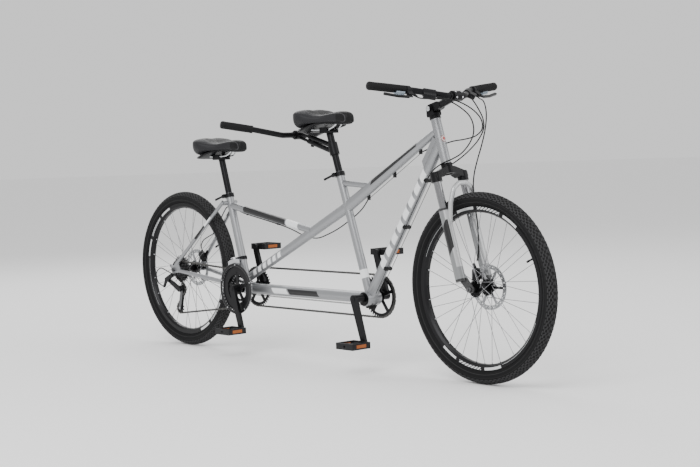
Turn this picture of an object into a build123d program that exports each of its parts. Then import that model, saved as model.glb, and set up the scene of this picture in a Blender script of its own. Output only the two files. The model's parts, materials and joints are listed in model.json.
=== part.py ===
"""Tandem bicycle: frame, sprung fork, two wheels, two cranksets, timing and drive chains.

Units are millimetres. The origin is on the ground, midway between the two axles.
X points forwards, Y to the rider's left and Z up.
"""
from build123d import *
import math
import os

# ---- wheels -------------------------------------------------------------------------
WHEEL_RADIUS = 335.0
WHEELBASE = 1755.0
TYRE_HALF_WIDTH = 25.5
TYRE_HEIGHT = 52.0
TYRE_WALL = 3.2
RIM_OUTER_RADIUS = 286.0
RIM_DEPTH = 22.0
RIM_HALF_WIDTH = 14.5
RIM_WALL = 2.2
SPOKES_PER_WHEEL = 36
SPOKE_RADIUS = 1.0
ROTOR_RADIUS = 80.0
ROTOR_THICKNESS = 1.8
AXLE_RADIUS = 4.8
FRONT_HUB_WIDTH = 100.0
REAR_HUB_WIDTH = 135.0

# ---- frame --------------------------------------------------------------------------
BRACKET_SPACING = 749.3
STOKER_BRACKET_X = -446.3
BRACKET_HEIGHT = 272.0
ECCENTRICITY = 4.0
SHELL_WIDTH = 68.0
STOKER_SHELL_RADIUS = 20.0
CAPTAIN_SHELL_RADIUS = 28.0
SHELL_WALL = 2.5
CAPTAIN_SEAT_ANGLE = 72.0
STOKER_SEAT_ANGLE = 74.0
CAPTAIN_SEAT_TUBE_TOP = 745.0
STOKER_SEAT_TUBE_TOP = 662.0
SEAT_TUBE_RADIUS = 15.9
TUBE_WALL = 1.8
BOOM_RADIUS = 22.0
BOOM_DROP = 2.0
TOP_TUBE_RADIUS = 14.3
BRACE_RADIUS = 11.0
STAY_RADIUS = 8.5
DROPOUT_THICKNESS = 6.0

# ---- steering -----------------------------------------------------------------------
HEAD_ANGLE = 73.5
HEAD_X = 700.0
HEAD_Z = 847.0
HEAD_HALF_LENGTH = 83.0
HEAD_RADIUS = 18.0
HEAD_WALL = 1.0
CUP_HEIGHT = 11.0
STEERER_RADIUS = 14.3
STANCHION_RADIUS = 14.0
STANCHION_WALL = 2.0
LEG_SPACING = 132.0
LEG_RADIUS = 18.5
FORK_TRAVEL = 60.0
STEM_REACH = 122.0
STEM_PIVOT_HEIGHT = 122.0
BAR_RADIUS = 11.1
BAR_CLAMP_RADIUS = 12.7
BAR_HALF_WIDTH = 313.0
GRIP_RADIUS = 15.5
GRIP_LENGTH = 145.0

# ---- drivetrain ---------------------------------------------------------------------
CHAIN_PITCH = 12.7
TIMING_TEETH = 40
RING_TEETH = (28, 38, 48)
RING_PLANES = (-44.0, -52.0, -60.0)
COG_TEETH = (28, 24, 22, 20, 18, 16, 14)
COG_PLANES = (-32.0, -37.0, -42.0, -47.0, -52.0, -57.0, -62.0)
DRIVE_COG = 4
JOCKEY_TEETH = 11
TIMING_PLANE = 50.0
CRANK_LENGTH = 170.0
CRANK_LEAN = 17.0
CRANK_PLANE = 82.0
CRANK_THICKNESS = 13.0
SPINDLE_RADIUS = 8.5
PEDAL_LENGTH = 88.0
PEDAL_DEPTH = 92.0
PEDAL_HEIGHT = 24.0
PEDAL_GAP = 6.0

# ---- seats --------------------------------------------------------------------------
POST_RADIUS = 13.6
CAPTAIN_SADDLE_TOP = 983.0
STOKER_SADDLE_TOP = 892.0
SADDLE_LENGTH = 270.0
SADDLE_HALF_WIDTH = 100.0
SADDLE_THICKNESS = 60.0
SADDLE_NOSE_RADIUS = 24.0
RAIL_DROP = 74.0
STOKER_STEM_HEIGHT = 833.0
STOKER_BAR_X = -83.0
STOKER_BAR_Z = 893.0

# ---- clearances ---------------------------------------------------------------------
FIT = 0.1
GAP = 0.4
CABLE_RADIUS = 2.3
WIRE_RADIUS = 1.0

FRONT_AXLE_X = WHEELBASE / 2
REAR_AXLE_X = -WHEELBASE / 2
AXLE_Z = WHEEL_RADIUS
CAPTAIN_BRACKET_X = STOKER_BRACKET_X + BRACKET_SPACING
STEER_AXIS = Vector(-math.cos(math.radians(HEAD_ANGLE)), 0, math.sin(math.radians(HEAD_ANGLE)))
FORK_FORWARD = Vector(math.sin(math.radians(HEAD_ANGLE)), 0, math.cos(math.radians(HEAD_ANGLE)))
SIDE = Plane(origin=(0, 0, 0), x_dir=(1, 0, 0), z_dir=(0, -1, 0))
FORK_SIDE = Plane(origin=(HEAD_X, 0, HEAD_Z), x_dir=FORK_FORWARD, z_dir=(0, -1, 0))
LEG_Y = LEG_SPACING / 2


# ---- shared shapes ------------------------------------------------------------------
def rod(start, end, radius):
    """A solid cylinder between two points."""
    first = Vector(*start)
    axis = Vector(*end) - first
    return Plane(origin=first, z_dir=axis) * Cylinder(
        radius, axis.length, align=(Align.CENTER, Align.CENTER, Align.MIN))


def pipe(start, end, outer, inner):
    """A hollow cylinder between two points."""
    return rod(start, end, outer) - rod(start, end, inner)


def cross_rod(x, z, radius, low, high):
    """A cylinder along Y from low to high."""
    return rod((x, low, z), (x, high, z), radius)


def cross_ring(x, z, outer, inner, low, high):
    """A ring around an axis along Y."""
    return cross_rod(x, z, outer, low, high) - cross_rod(x, z, inner, low - 1, high + 1)


def side_plate(face, low, high, plane=SIDE):
    """A flat face drawn in a side plane, thickened from low to high along Y."""
    return Pos(0, high, 0) * extrude(plane * face, amount=high - low, dir=(0, -1, 0))


def hull_face(circles):
    """The outline stretched round a few circles, each given as x, z and radius."""
    return make_hull([(Pos(x, z) * Circle(radius)).edge() for x, z, radius in circles])


def lug(circles, low, high, plane=SIDE):
    """A plate whose outline is stretched round circles."""
    return side_plate(hull_face(circles), low, high, plane)


def block(low, high):
    """A box between two corners."""
    size = [high[i] - low[i] for i in range(3)]
    centre = [(high[i] + low[i]) / 2 for i in range(3)]
    return Pos(*centre) * Box(*size)


def bent_rod(points, radii, radius):
    """A round bar along straight runs joined by tangent arcs."""
    path = FilletPolyline(*points, radius=radii) if radii else Polyline(*points)
    start = Plane(origin=path @ 0, z_dir=path % 0)
    return sweep(start * Circle(radius), path=path)


def oval_tube(start, end, start_size, end_size, wall):
    """A tapered oval tube in the X-Z plane; each size is its half height and half width."""
    axis = (Vector(*end) - Vector(*start)).normalized()
    tall = Vector(-axis.Z, 0, axis.X)

    def skin(inset):
        ends = []
        for point, size in ((start, start_size), (end, end_size)):
            plane = Plane(origin=point, x_dir=tall, z_dir=axis)
            ends.append(plane * Ellipse(size[0] - inset, size[1] - inset))
        return loft(ends)

    return skin(0) - skin(wall) if wall else skin(0)


def fork_point(forward, side, along):
    """A point given ahead of the steering axis, to the left and up along the axis."""
    place = Vector(HEAD_X, side, HEAD_Z) + FORK_FORWARD * forward + STEER_AXIS * along
    return (place.X, place.Y, place.Z)


def seat_point(bracket_x, angle, height):
    """The point of a seat tube's axis at a height above the ground."""
    return (bracket_x - (height - BRACKET_HEIGHT) / math.tan(math.radians(angle)), 0, height)


def both_sides(solid):
    """A left solid and its mirror image on the right."""
    return [solid, solid.mirror(Plane.XZ)]


def save(name, *pieces):
    """Writes every solid of the pieces as one node."""
    solids = []
    for piece in pieces:
        for item in (piece if isinstance(piece, (list, tuple)) else [piece]):
            solids.extend(item.solids())
    export_step(Compound(solids), f"parts/{name}.step")


# ---- frame --------------------------------------------------------------------------
CAPTAIN_SEAT = {h: seat_point(CAPTAIN_BRACKET_X, CAPTAIN_SEAT_ANGLE, h) for h in
                (BRACKET_HEIGHT, 600, 612, 700, 703, CAPTAIN_SEAT_TUBE_TOP, 980)}
CAPTAIN_AXIS = Vector(*CAPTAIN_SEAT[980]) - Vector(*CAPTAIN_SEAT[BRACKET_HEIGHT])
SEAT_CROSSING = CAPTAIN_SEAT[612]
STOKER_FOOT = (STOKER_BRACKET_X, 0, BRACKET_HEIGHT)
CAPTAIN_FOOT = (CAPTAIN_BRACKET_X, 0, BRACKET_HEIGHT)
CAPTAIN_SHELL_Z = BRACKET_HEIGHT - ECCENTRICITY
HEAD_AT_TOP_TUBE = fork_point(0, 0, 43)
HEAD_AT_DOWN_TUBE = fork_point(0, 0, -1)
FRONT_TUBE_ENDS = ((24.0, 15.0), (14.0, 13.5))
REAR_TUBE_ENDS = ((22.0, 15.0), (17.0, 13.5))
REAR_TUBE_FOOT = (STOKER_BRACKET_X - 16, 0, BRACKET_HEIGHT + 31)
DOWN_TUBE_ENDS = ((20.0, 20.0), (21.0, 17.0))


def head_cutter():
    """The head tube's outside, used to mitre what meets it."""
    return rod(fork_point(0, 0, -120), fork_point(0, 0, 120), HEAD_RADIUS)


def seat_cutter(bracket_x, angle):
    """A seat tube's outside, used to mitre what meets it."""
    low = seat_point(bracket_x, angle, BRACKET_HEIGHT - 10)
    return rod(low, seat_point(bracket_x, angle, 760), SEAT_TUBE_RADIUS)


def shell_cutters():
    """The outsides of both bottom bracket shells."""
    stoker = cross_rod(STOKER_BRACKET_X, BRACKET_HEIGHT, STOKER_SHELL_RADIUS, -34, 34)
    captain = cross_rod(CAPTAIN_BRACKET_X, CAPTAIN_SHELL_Z, CAPTAIN_SHELL_RADIUS, -34, 34)
    return stoker, captain


def front_tube(wall):
    """The tapered tube from the captain's seat tube up to the head tube."""
    return oval_tube(SEAT_CROSSING, HEAD_AT_TOP_TUBE, *FRONT_TUBE_ENDS, wall)


def rear_tube(wall):
    """The tapered tube from the captain's seat tube down to the stoker's bracket."""
    return oval_tube(SEAT_CROSSING, REAR_TUBE_FOOT, *REAR_TUBE_ENDS, wall)


def largest(shape):
    """The biggest solid of a shape, dropping what a mitre leaves behind."""
    return shape.solids().sort_by(SortBy.VOLUME)[-1]


def build_head_tube():
    tube_end = fork_point(0, 0, HEAD_HALF_LENGTH)
    save("head_tube", pipe(fork_point(0, 0, -HEAD_HALF_LENGTH), tube_end,
                           HEAD_RADIUS, HEAD_RADIUS - HEAD_WALL))


def build_top_tubes():
    """The two tapered tubes, the stoker's top tube and the captain's short brace."""
    captain = seat_cutter(CAPTAIN_BRACKET_X, CAPTAIN_SEAT_ANGLE)
    stoker = seat_cutter(STOKER_BRACKET_X, STOKER_SEAT_ANGLE)
    front = largest(front_tube(TUBE_WALL) - head_cutter() - captain)
    rear = largest(rear_tube(TUBE_WALL) - captain - stoker - shell_cutters()[0])
    low_end = (-25.0, 0, 517.6)
    stoker_end = seat_point(STOKER_BRACKET_X, STOKER_SEAT_ANGLE, 612)
    stoker_tube = pipe(stoker_end, low_end, TOP_TUBE_RADIUS, TOP_TUBE_RADIUS - TUBE_WALL)
    stoker_tube = largest(stoker_tube - stoker - rear_tube(0))
    brace = pipe(CAPTAIN_SEAT[703], (318.0, 0, 692.0), BRACE_RADIUS, BRACE_RADIUS - TUBE_WALL)
    brace = largest(brace - captain - front_tube(0))
    save("top_tubes", front, rear, stoker_tube, brace)


def build_down_tube():
    outer = oval_tube(CAPTAIN_FOOT, HEAD_AT_DOWN_TUBE, *DOWN_TUBE_ENDS, 0)
    tube = oval_tube(CAPTAIN_FOOT, HEAD_AT_DOWN_TUBE, *DOWN_TUBE_ENDS, TUBE_WALL)
    tube = tube - head_cutter() - shell_cutters()[1] - seat_cutter(
        CAPTAIN_BRACKET_X, CAPTAIN_SEAT_ANGLE)
    axis = (Vector(*HEAD_AT_DOWN_TUBE) - Vector(*CAPTAIN_FOOT)).normalized()
    length = (Vector(*HEAD_AT_DOWN_TUBE) - Vector(*CAPTAIN_FOOT)).length
    throat_plane = Plane(origin=CAPTAIN_FOOT, x_dir=axis, z_dir=(0, -1, 0))
    outline = Polygon((length - 118, 12), (length - 104, 32), (length, 32), (length, 0), align=None)
    throat = side_plate(outline, -14, 14, throat_plane) - outer - head_cutter() - front_tube(0)
    save("down_tube", largest(tube), largest(throat))


def build_seat_tubes():
    captain = pipe(CAPTAIN_FOOT, CAPTAIN_SEAT[CAPTAIN_SEAT_TUBE_TOP], SEAT_TUBE_RADIUS,
                   POST_RADIUS + FIT)
    top = seat_point(STOKER_BRACKET_X, STOKER_SEAT_ANGLE, STOKER_SEAT_TUBE_TOP)
    stoker = pipe(STOKER_FOOT, top, SEAT_TUBE_RADIUS, POST_RADIUS + FIT)
    cutters = shell_cutters()
    half = SHELL_WIDTH / 2
    shells = [cross_ring(STOKER_BRACKET_X, BRACKET_HEIGHT, STOKER_SHELL_RADIUS,
                         STOKER_SHELL_RADIUS - SHELL_WALL, -half, half),
              cross_ring(CAPTAIN_BRACKET_X, CAPTAIN_SHELL_Z, CAPTAIN_SHELL_RADIUS,
                         CAPTAIN_SHELL_RADIUS - SHELL_WALL, -half, half)]
    save("seat_tubes", captain - cutters[1], stoker - cutters[0], shells)


def build_boom_tube():
    z = BRACKET_HEIGHT - BOOM_DROP
    tube = pipe((STOKER_BRACKET_X + 12, 0, z), (CAPTAIN_BRACKET_X - 16, 0, z),
                BOOM_RADIUS, BOOM_RADIUS - TUBE_WALL)
    for bracket_x, angle in ((STOKER_BRACKET_X, STOKER_SEAT_ANGLE),
                             (CAPTAIN_BRACKET_X, CAPTAIN_SEAT_ANGLE)):
        tube -= seat_cutter(bracket_x, angle)
    stoker, captain = shell_cutters()
    save("boom_tube", largest(tube - stoker - captain))


def build_bearings():
    """Bottom bracket cartridges, the captain's eccentric insert and the headset cups."""
    half = SHELL_WIDTH / 2
    cartridge = STOKER_SHELL_RADIUS - SHELL_WALL
    bore = SPINDLE_RADIUS + FIT
    cartridges = [cross_ring(x, BRACKET_HEIGHT, cartridge, bore, -half - 1, half + 1)
                  for x in (STOKER_BRACKET_X, CAPTAIN_BRACKET_X)]
    insert = cross_rod(CAPTAIN_BRACKET_X, CAPTAIN_SHELL_Z, CAPTAIN_SHELL_RADIUS - SHELL_WALL,
                       -half - 2, half + 2)
    insert = insert - cross_rod(CAPTAIN_BRACKET_X, BRACKET_HEIGHT, cartridge, -60, 60)
    cups = []
    for sign in (-1, 1):
        edge = sign * HEAD_HALF_LENGTH
        outside = pipe(fork_point(0, 0, edge), fork_point(0, 0, edge + sign * CUP_HEIGHT),
                       HEAD_RADIUS + 2.5, STEERER_RADIUS + FIT)
        inside = pipe(fork_point(0, 0, edge - sign * 14), fork_point(0, 0, edge),
                      HEAD_RADIUS - HEAD_WALL, STEERER_RADIUS + FIT)
        cups.append(outside + inside)
    save("bearings", cartridges, insert, cups)


def stay_ends():
    """Where the left seat stay and chain stay start, and where both end."""
    y_end = REAR_HUB_WIDTH / 2 + DROPOUT_THICKNESS / 2
    seat_top = seat_point(STOKER_BRACKET_X, STOKER_SEAT_ANGLE, 628)
    return ((seat_top[0] - 8, 33, 628), (REAR_AXLE_X + 22, y_end, AXLE_Z + 28),
            (STOKER_BRACKET_X - 6, 27, BRACKET_HEIGHT + 6), (REAR_AXLE_X + 34, y_end, AXLE_Z - 4))


def stays():
    """The joined pair of seat stays, and the two chain stays."""
    seat_top, seat_end, chain_top, chain_end = stay_ends()
    shell = cross_rod(STOKER_BRACKET_X, BRACKET_HEIGHT, STOKER_SHELL_RADIUS, -60, 60)
    tube = seat_cutter(STOKER_BRACKET_X, STOKER_SEAT_ANGLE)
    bridge = rod((seat_top[0] + 1, -33, 622), (seat_top[0] + 1, 33, 622), 9) - tube
    seat_stay = rod(seat_top, seat_end, STAY_RADIUS - 1) - tube
    chain_stay = rod(chain_top, chain_end, STAY_RADIUS) - shell
    return [seat_stay + bridge + seat_stay.mirror(Plane.XZ)] + both_sides(chain_stay)


def build_rear_triangle():
    """Both pairs of stays and the dropouts that hold the rear axle."""
    inner = REAR_HUB_WIDTH / 2
    outer = inner + DROPOUT_THICKNESS
    seat_end, chain_end = stay_ends()[1], stay_ends()[3]
    circles = [(REAR_AXLE_X, AXLE_Z, 14), (seat_end[0], seat_end[2], 9),
               (chain_end[0], chain_end[2], 9)]
    left = lug(circles, inner, outer)
    eyelet = lug([(REAR_AXLE_X, AXLE_Z, 10), (REAR_AXLE_X - 24, AXLE_Z + 16, 7)], inner, outer)
    left = left + eyelet
    left = left - cross_rod(REAR_AXLE_X, AXLE_Z, AXLE_RADIUS + FIT, 60, 80)
    left = left - cross_rod(REAR_AXLE_X - 24, AXLE_Z + 16, 2.5, 60, 80)
    seat_stay = rod(stay_ends()[0], seat_end, STAY_RADIUS - 1)
    chain_stay = rod(stay_ends()[2], chain_end, STAY_RADIUS)
    left = largest(left - seat_stay - chain_stay)
    hanger = lug([(REAR_AXLE_X, AXLE_Z, 10), (REAR_AXLE_X - 12, AXLE_Z - 26, 8)], -outer, -inner)
    hanger = hanger - cross_rod(REAR_AXLE_X, AXLE_Z, AXLE_RADIUS + FIT, -80, -60)
    right = left.mirror(Plane.XZ) + (hanger - chain_stay.mirror(Plane.XZ))
    save("rear_triangle", stays(), left, right)


def build_seat_collars():
    """Quick-release collars on both seat tubes, each with the two ears of its lever."""
    collars = []
    for bracket_x, angle, top in ((CAPTAIN_BRACKET_X, CAPTAIN_SEAT_ANGLE, CAPTAIN_SEAT_TUBE_TOP),
                                  (STOKER_BRACKET_X, STOKER_SEAT_ANGLE, STOKER_SEAT_TUBE_TOP)):
        plane = collar_plane(bracket_x, angle, top)
        ring = Cylinder(20, 16) - Cylinder(SEAT_TUBE_RADIUS + 0.02, 20)
        ears = [Pos(-6, -24, sign * 6) * Box(14, 14, 3) for sign in (-1, 1)]
        pin = Pos(-8, -26, 0) * Cylinder(2.5, 14)
        ears = ears[0] + ears[1] + pin - Cylinder(SEAT_TUBE_RADIUS + 0.02, 20)
        collars.append(plane * (ring + ears))
    save("seat_collars", collars)


def collar_plane(bracket_x, angle, top):
    """A plane at the middle of a seat collar, its Z along the seat tube and X forwards."""
    axis = Vector(-math.cos(math.radians(angle)), 0, math.sin(math.radians(angle)))
    return Plane(origin=seat_point(bracket_x, angle, top - 9),
                 x_dir=(axis.Z, 0, -axis.X), z_dir=axis)


def build_seat_levers():
    for name, bracket_x, angle, top in (
            ("captain_seat_lever", CAPTAIN_BRACKET_X, CAPTAIN_SEAT_ANGLE, CAPTAIN_SEAT_TUBE_TOP),
            ("stoker_seat_lever", STOKER_BRACKET_X, STOKER_SEAT_ANGLE, STOKER_SEAT_TUBE_TOP)):
        hub = Pos(-8, -26, 0) * (Cylinder(6, 8) - Cylinder(2.5 + FIT, 20))
        blade = Pos(-36, -28, 0) * Box(48, 4.5, 8)
        tip = Pos(-60, -28, 0) * Cylinder(4, 8)
        lever = hub + (blade + tip - Pos(-8, -26, 0) * Cylinder(5.9, 20))
        save(name, collar_plane(bracket_x, angle, top) * lever)


# ---- steering and fork --------------------------------------------------------------
CROWN_TOP = -HEAD_HALF_LENGTH - CUP_HEIGHT - 1.0
CROWN_BOTTOM = -148.0
LEG_TOP = -244.0
LEG_FLOOR = -500.0
LEG_BOTTOM = -506.0
STANCHION_BOTTOM = -428.0
FRONT_AXLE_FORWARD = (Vector(FRONT_AXLE_X - HEAD_X, 0, AXLE_Z - HEAD_Z)).dot(FORK_FORWARD)
FRONT_AXLE_ALONG = (Vector(FRONT_AXLE_X - HEAD_X, 0, AXLE_Z - HEAD_Z)).dot(STEER_AXIS)


def leg_rod(side, low, high, radius):
    """A cylinder along one fork leg."""
    return rod(fork_point(0, side * LEG_Y, low), fork_point(0, side * LEG_Y, high), radius)


def build_crown():
    steerer = pipe(fork_point(0, 0, CROWN_TOP - 20), fork_point(0, 0, STEM_PIVOT_HEIGHT - 19),
                   STEERER_RADIUS, STEERER_RADIUS - 2.3)
    race = rod(fork_point(0, 0, CROWN_TOP - 26), fork_point(0, 0, CROWN_TOP), 22)
    face = Plane(origin=fork_point(-17, 0, 0), x_dir=(0, 1, 0), z_dir=FORK_FORWARD)
    half = [(0, CROWN_TOP), (22, CROWN_TOP - 1), (LEG_Y + 12, CROWN_TOP - 22),
            (LEG_Y + 12, CROWN_TOP - 40), (LEG_Y - 24, CROWN_TOP - 38), (24, CROWN_TOP - 26),
            (0, CROWN_TOP - 24)]
    outline = Polygon(*half, *[(-y, a) for y, a in reversed(half[1:-1])], align=None)
    bridge = extrude(face * outline, amount=34, dir=FORK_FORWARD)
    crown = bridge + race
    for side in (-1, 1):
        crown += leg_rod(side, CROWN_BOTTOM, CROWN_TOP - 18, 19.5)
    for side in (-1, 1):
        crown -= leg_rod(side, CROWN_BOTTOM - 5, CROWN_TOP - 24, STANCHION_RADIUS)
    bore = rod(fork_point(0, 0, -160), fork_point(0, 0, 0), STEERER_RADIUS)
    save("fork_crown", (crown - bore) + steerer)
    save("fork_stanchions", [
        leg_rod(side, STANCHION_BOTTOM, CROWN_TOP - 24, STANCHION_RADIUS)
        - leg_rod(side, STANCHION_BOTTOM - 5, CROWN_TOP, STANCHION_RADIUS - STANCHION_WALL)
        for side in (-1, 1)])


def build_fork_springs():
    """A coil spring in each leg, from the crown down to the leg's floor."""
    turn = 30.0
    wire = 2.0
    radius = STANCHION_RADIUS - STANCHION_WALL - wire - 0.6
    height = CROWN_TOP - 24 - LEG_FLOOR - 2 * wire - 0.4
    springs = []
    for side in (-1, 1):
        path = Helix(turn, height, radius)
        coil = sweep(Plane(origin=path @ 0, z_dir=path % 0) * Circle(wire), path=path,
                     is_frenet=True)
        place = Plane(origin=fork_point(0, side * LEG_Y, LEG_FLOOR + wire + 0.2),
                      x_dir=FORK_FORWARD, z_dir=STEER_AXIS)
        springs.append(place * coil)
    save("fork_springs", springs)


def build_lowers():
    legs = []
    for side in (-1, 1):
        leg = leg_rod(side, LEG_BOTTOM, LEG_TOP, LEG_RADIUS)
        low, high = (50, 60) if side > 0 else (-60, -50)
        foot = lug([(0, LEG_BOTTOM + 14, 15), (FRONT_AXLE_FORWARD, FRONT_AXLE_ALONG, 12.5)],
                   low, high, FORK_SIDE)
        foot = foot - cross_rod(FRONT_AXLE_X, AXLE_Z, AXLE_RADIUS + FIT, low - 1, high + 1)
        leg = leg + foot - leg_rod(side, LEG_FLOOR, LEG_TOP + 1, STANCHION_RADIUS + FIT)
        legs.append(leg)
    half = [(12, 62, -292), (34, 60, -232), (50, 46, -186), (53, 18, -168)]
    points = [fork_point(f, y, a) for f, y, a in half]
    points += [fork_point(f, -y, a) for f, y, a in reversed(half)]
    arch = bent_rod(points, [50, 30, 26, 26, 30, 50], 8.5)
    for side in (-1, 1):
        arch -= leg_rod(side, LEG_BOTTOM, LEG_TOP + 1, STANCHION_RADIUS + FIT)
    save("fork_lowers", legs[0] + arch + legs[1])


def build_front_axle():
    reach = FRONT_HUB_WIDTH / 2 + 10
    axle = cross_rod(FRONT_AXLE_X, AXLE_Z, AXLE_RADIUS, -reach - 12, reach + 12)
    pieces = [axle]
    for side in (-1, 1):
        cone = sorted((side * 42.6, side * (FRONT_HUB_WIDTH / 2)))
        nut = sorted((side * reach, side * (reach + 9)))
        pieces.append(cross_ring(FRONT_AXLE_X, AXLE_Z, 8.5, AXLE_RADIUS, *cone))
        nut_face = Pos(FRONT_AXLE_X, AXLE_Z) * RegularPolygon(9.5, 6)
        pieces.append(side_plate(nut_face, *nut) - cross_rod(
            FRONT_AXLE_X, AXLE_Z, AXLE_RADIUS, -reach - 12, reach + 12))
    save("front_axle", pieces)


def build_rear_axle():
    reach = REAR_HUB_WIDTH / 2 + DROPOUT_THICKNESS
    pieces = [cross_rod(REAR_AXLE_X, AXLE_Z, AXLE_RADIUS, -reach - 12, reach + 12)]
    for side, cone_start in ((-1, -64.6), (1, 56.6)):
        cone = sorted((cone_start, side * REAR_HUB_WIDTH / 2))
        nut = sorted((side * reach, side * (reach + 9)))
        pieces.append(cross_ring(REAR_AXLE_X, AXLE_Z, 8.5, AXLE_RADIUS, *cone))
        nut_face = Pos(REAR_AXLE_X, AXLE_Z) * RegularPolygon(9.5, 6)
        pieces.append(side_plate(nut_face, *nut) - cross_rod(
            REAR_AXLE_X, AXLE_Z, AXLE_RADIUS, -reach - 12, reach + 12))
    save("rear_axle", pieces)


# ---- wheels -------------------------------------------------------------------------
FRONT_ROTOR_Y = 39.0
REAR_ROTOR_Y = 52.0


def turned(face, axle_x):
    """A profile drawn as radius and Y, turned round an axle."""
    plane = Plane(origin=(0, 0, 0), x_dir=(1, 0, 0), z_dir=(0, 0, 1))
    ring = revolve(plane * face, axis=Axis.Y)
    return Pos(axle_x, 0, AXLE_Z) * ring


def tyre(axle_x):
    crown = WHEEL_RADIUS - TYRE_HEIGHT / 2
    bead = RIM_HALF_WIDTH - RIM_WALL - 0.1
    outer = Pos(crown, 0) * Ellipse(TYRE_HEIGHT / 2, TYRE_HALF_WIDTH)
    outer = outer + Pos(crown - 17, 0) * Rectangle(22, 2 * bead)
    inner = Pos(crown, 0) * Ellipse(TYRE_HEIGHT / 2 - TYRE_WALL, TYRE_HALF_WIDTH - TYRE_WALL)
    inner = inner + Pos(crown - 19, 0) * Rectangle(26, 2 * bead - 2 * TYRE_WALL)
    return turned(outer - inner, axle_x)


def rim(axle_x):
    base = RIM_OUTER_RADIUS - RIM_DEPTH
    body = Polygon((RIM_OUTER_RADIUS, -RIM_HALF_WIDTH), (RIM_OUTER_RADIUS, RIM_HALF_WIDTH),
                   (base + 7, RIM_HALF_WIDTH), (base, 7), (base, -7),
                   (base + 7, -RIM_HALF_WIDTH), align=None)
    floor = RIM_OUTER_RADIUS - 7
    wall_width = 2 * (RIM_HALF_WIDTH - RIM_WALL)
    well = Pos(floor + 10, 0) * Rectangle(20, wall_width)
    chamber = Polygon((floor - RIM_WALL, RIM_HALF_WIDTH - RIM_WALL),
                      (base + 8, RIM_HALF_WIDTH - RIM_WALL), (base + RIM_WALL, 6),
                      (base + RIM_WALL, -6), (base + 8, -RIM_HALF_WIDTH + RIM_WALL),
                      (floor - RIM_WALL, -RIM_HALF_WIDTH + RIM_WALL), align=None)
    return turned(body - well - chamber, axle_x)


def spokes(axle_x, left_y, right_y, flange_radius):
    """Three-cross spokes, from just outside or inside each flange to the rim's bed."""
    per_side = SPOKES_PER_WHEEL // 2
    step = 360.0 / per_side
    seat = RIM_OUTER_RADIUS - RIM_DEPTH - 0.6
    result = []
    for side, flange_y in ((1, left_y), (-1, right_y)):
        for index in range(per_side):
            leading = index % 2 == 0
            hub_angle = index * step + (0 if side > 0 else step / 2)
            rim_angle = hub_angle + (62 if leading else -62)
            lift = 2.9 if leading else -2.9
            start = wheel_point(axle_x, flange_radius, hub_angle, flange_y + side * lift)
            end = wheel_point(axle_x, seat, rim_angle, side * 3.5)
            result.append(rod(start, end, SPOKE_RADIUS))
    return result


def wheel_point(axle_x, radius, angle, y):
    turn = math.radians(angle)
    return (axle_x + radius * math.cos(turn), y, AXLE_Z + radius * math.sin(turn))


def hub(axle_x, ends, flanges, rotor_y, rotor_boss):
    """A hub shell with two flanges and a boss that carries the brake rotor."""
    body = cross_rod(axle_x, AXLE_Z, 14.0, *ends)
    for flange_y in flanges:
        body += cross_rod(axle_x, AXLE_Z, 29, flange_y - 1.8, flange_y + 1.8)
    body += cross_rod(axle_x, AXLE_Z, 20, rotor_boss, rotor_y - ROTOR_THICKNESS / 2)
    return body - cross_rod(axle_x, AXLE_Z, AXLE_RADIUS + FIT, -90, 90)


def rotor(axle_x, y):
    """A brake rotor: a drilled ring on six arms, bolted to the hub's boss."""
    half = ROTOR_THICKNESS / 2
    face = Circle(ROTOR_RADIUS) - Circle(64) + Circle(24)
    for index in range(6):
        face += Rot(0, 0, 60 * index) * (Pos(44, 0) * Rectangle(46, 9))
    for index in range(24):
        face -= Rot(0, 0, 15 * index) * (Pos(68.5 + 3.5 * (index % 2), 0) * Circle(2.6))
    face -= Circle(AXLE_RADIUS + 4.5)
    disc = side_plate(Pos(axle_x, AXLE_Z) * face, y - half, y + half)
    bolts = [rod(wheel_point(axle_x, 17, 60 * i + 30, y + half),
                 wheel_point(axle_x, 17, 60 * i + 30, y + half + 2.5), 3.5) for i in range(6)]
    return [disc] + bolts


def build_front_wheel():
    save("front_tyre", tyre(FRONT_AXLE_X))
    save("front_rim", rim(FRONT_AXLE_X))
    wires = spokes(FRONT_AXLE_X, 28, -32, 25)
    save("front_spokes", wires)
    shell = hub(FRONT_AXLE_X, (-42, 38), (28, -32), FRONT_ROTOR_Y, 28) - wires
    save("front_hub", shell, rotor(FRONT_AXLE_X, FRONT_ROTOR_Y))


def build_rear_wheel():
    save("rear_tyre", tyre(REAR_AXLE_X))
    save("rear_rim", rim(REAR_AXLE_X))
    wires = spokes(REAR_AXLE_X, 34, -22, 25)
    save("rear_spokes", wires)
    shell = hub(REAR_AXLE_X, (-64, 50), (34, -22), REAR_ROTOR_Y, 34) - wires
    thread = cross_ring(REAR_AXLE_X, AXLE_Z, 16.9, 13, -63, -22)
    save("rear_hub", shell + thread, rotor(REAR_AXLE_X, REAR_ROTOR_Y))


# ---- sprockets and chains -----------------------------------------------------------
def pitch_radius(teeth):
    return CHAIN_PITCH / (2 * math.sin(math.pi / teeth))


def toothed(teeth, bore, phase=0.0):
    """A sprocket's face, with a gap for a roller at each tooth's side."""
    radius = pitch_radius(teeth)
    face = Circle(radius + 3.2)
    gaps = [Rot(0, 0, phase + 360.0 * i / teeth) * (Pos(radius, 0) * Circle(4.1))
            for i in range(teeth)]
    return face - gaps - Circle(bore)


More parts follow.
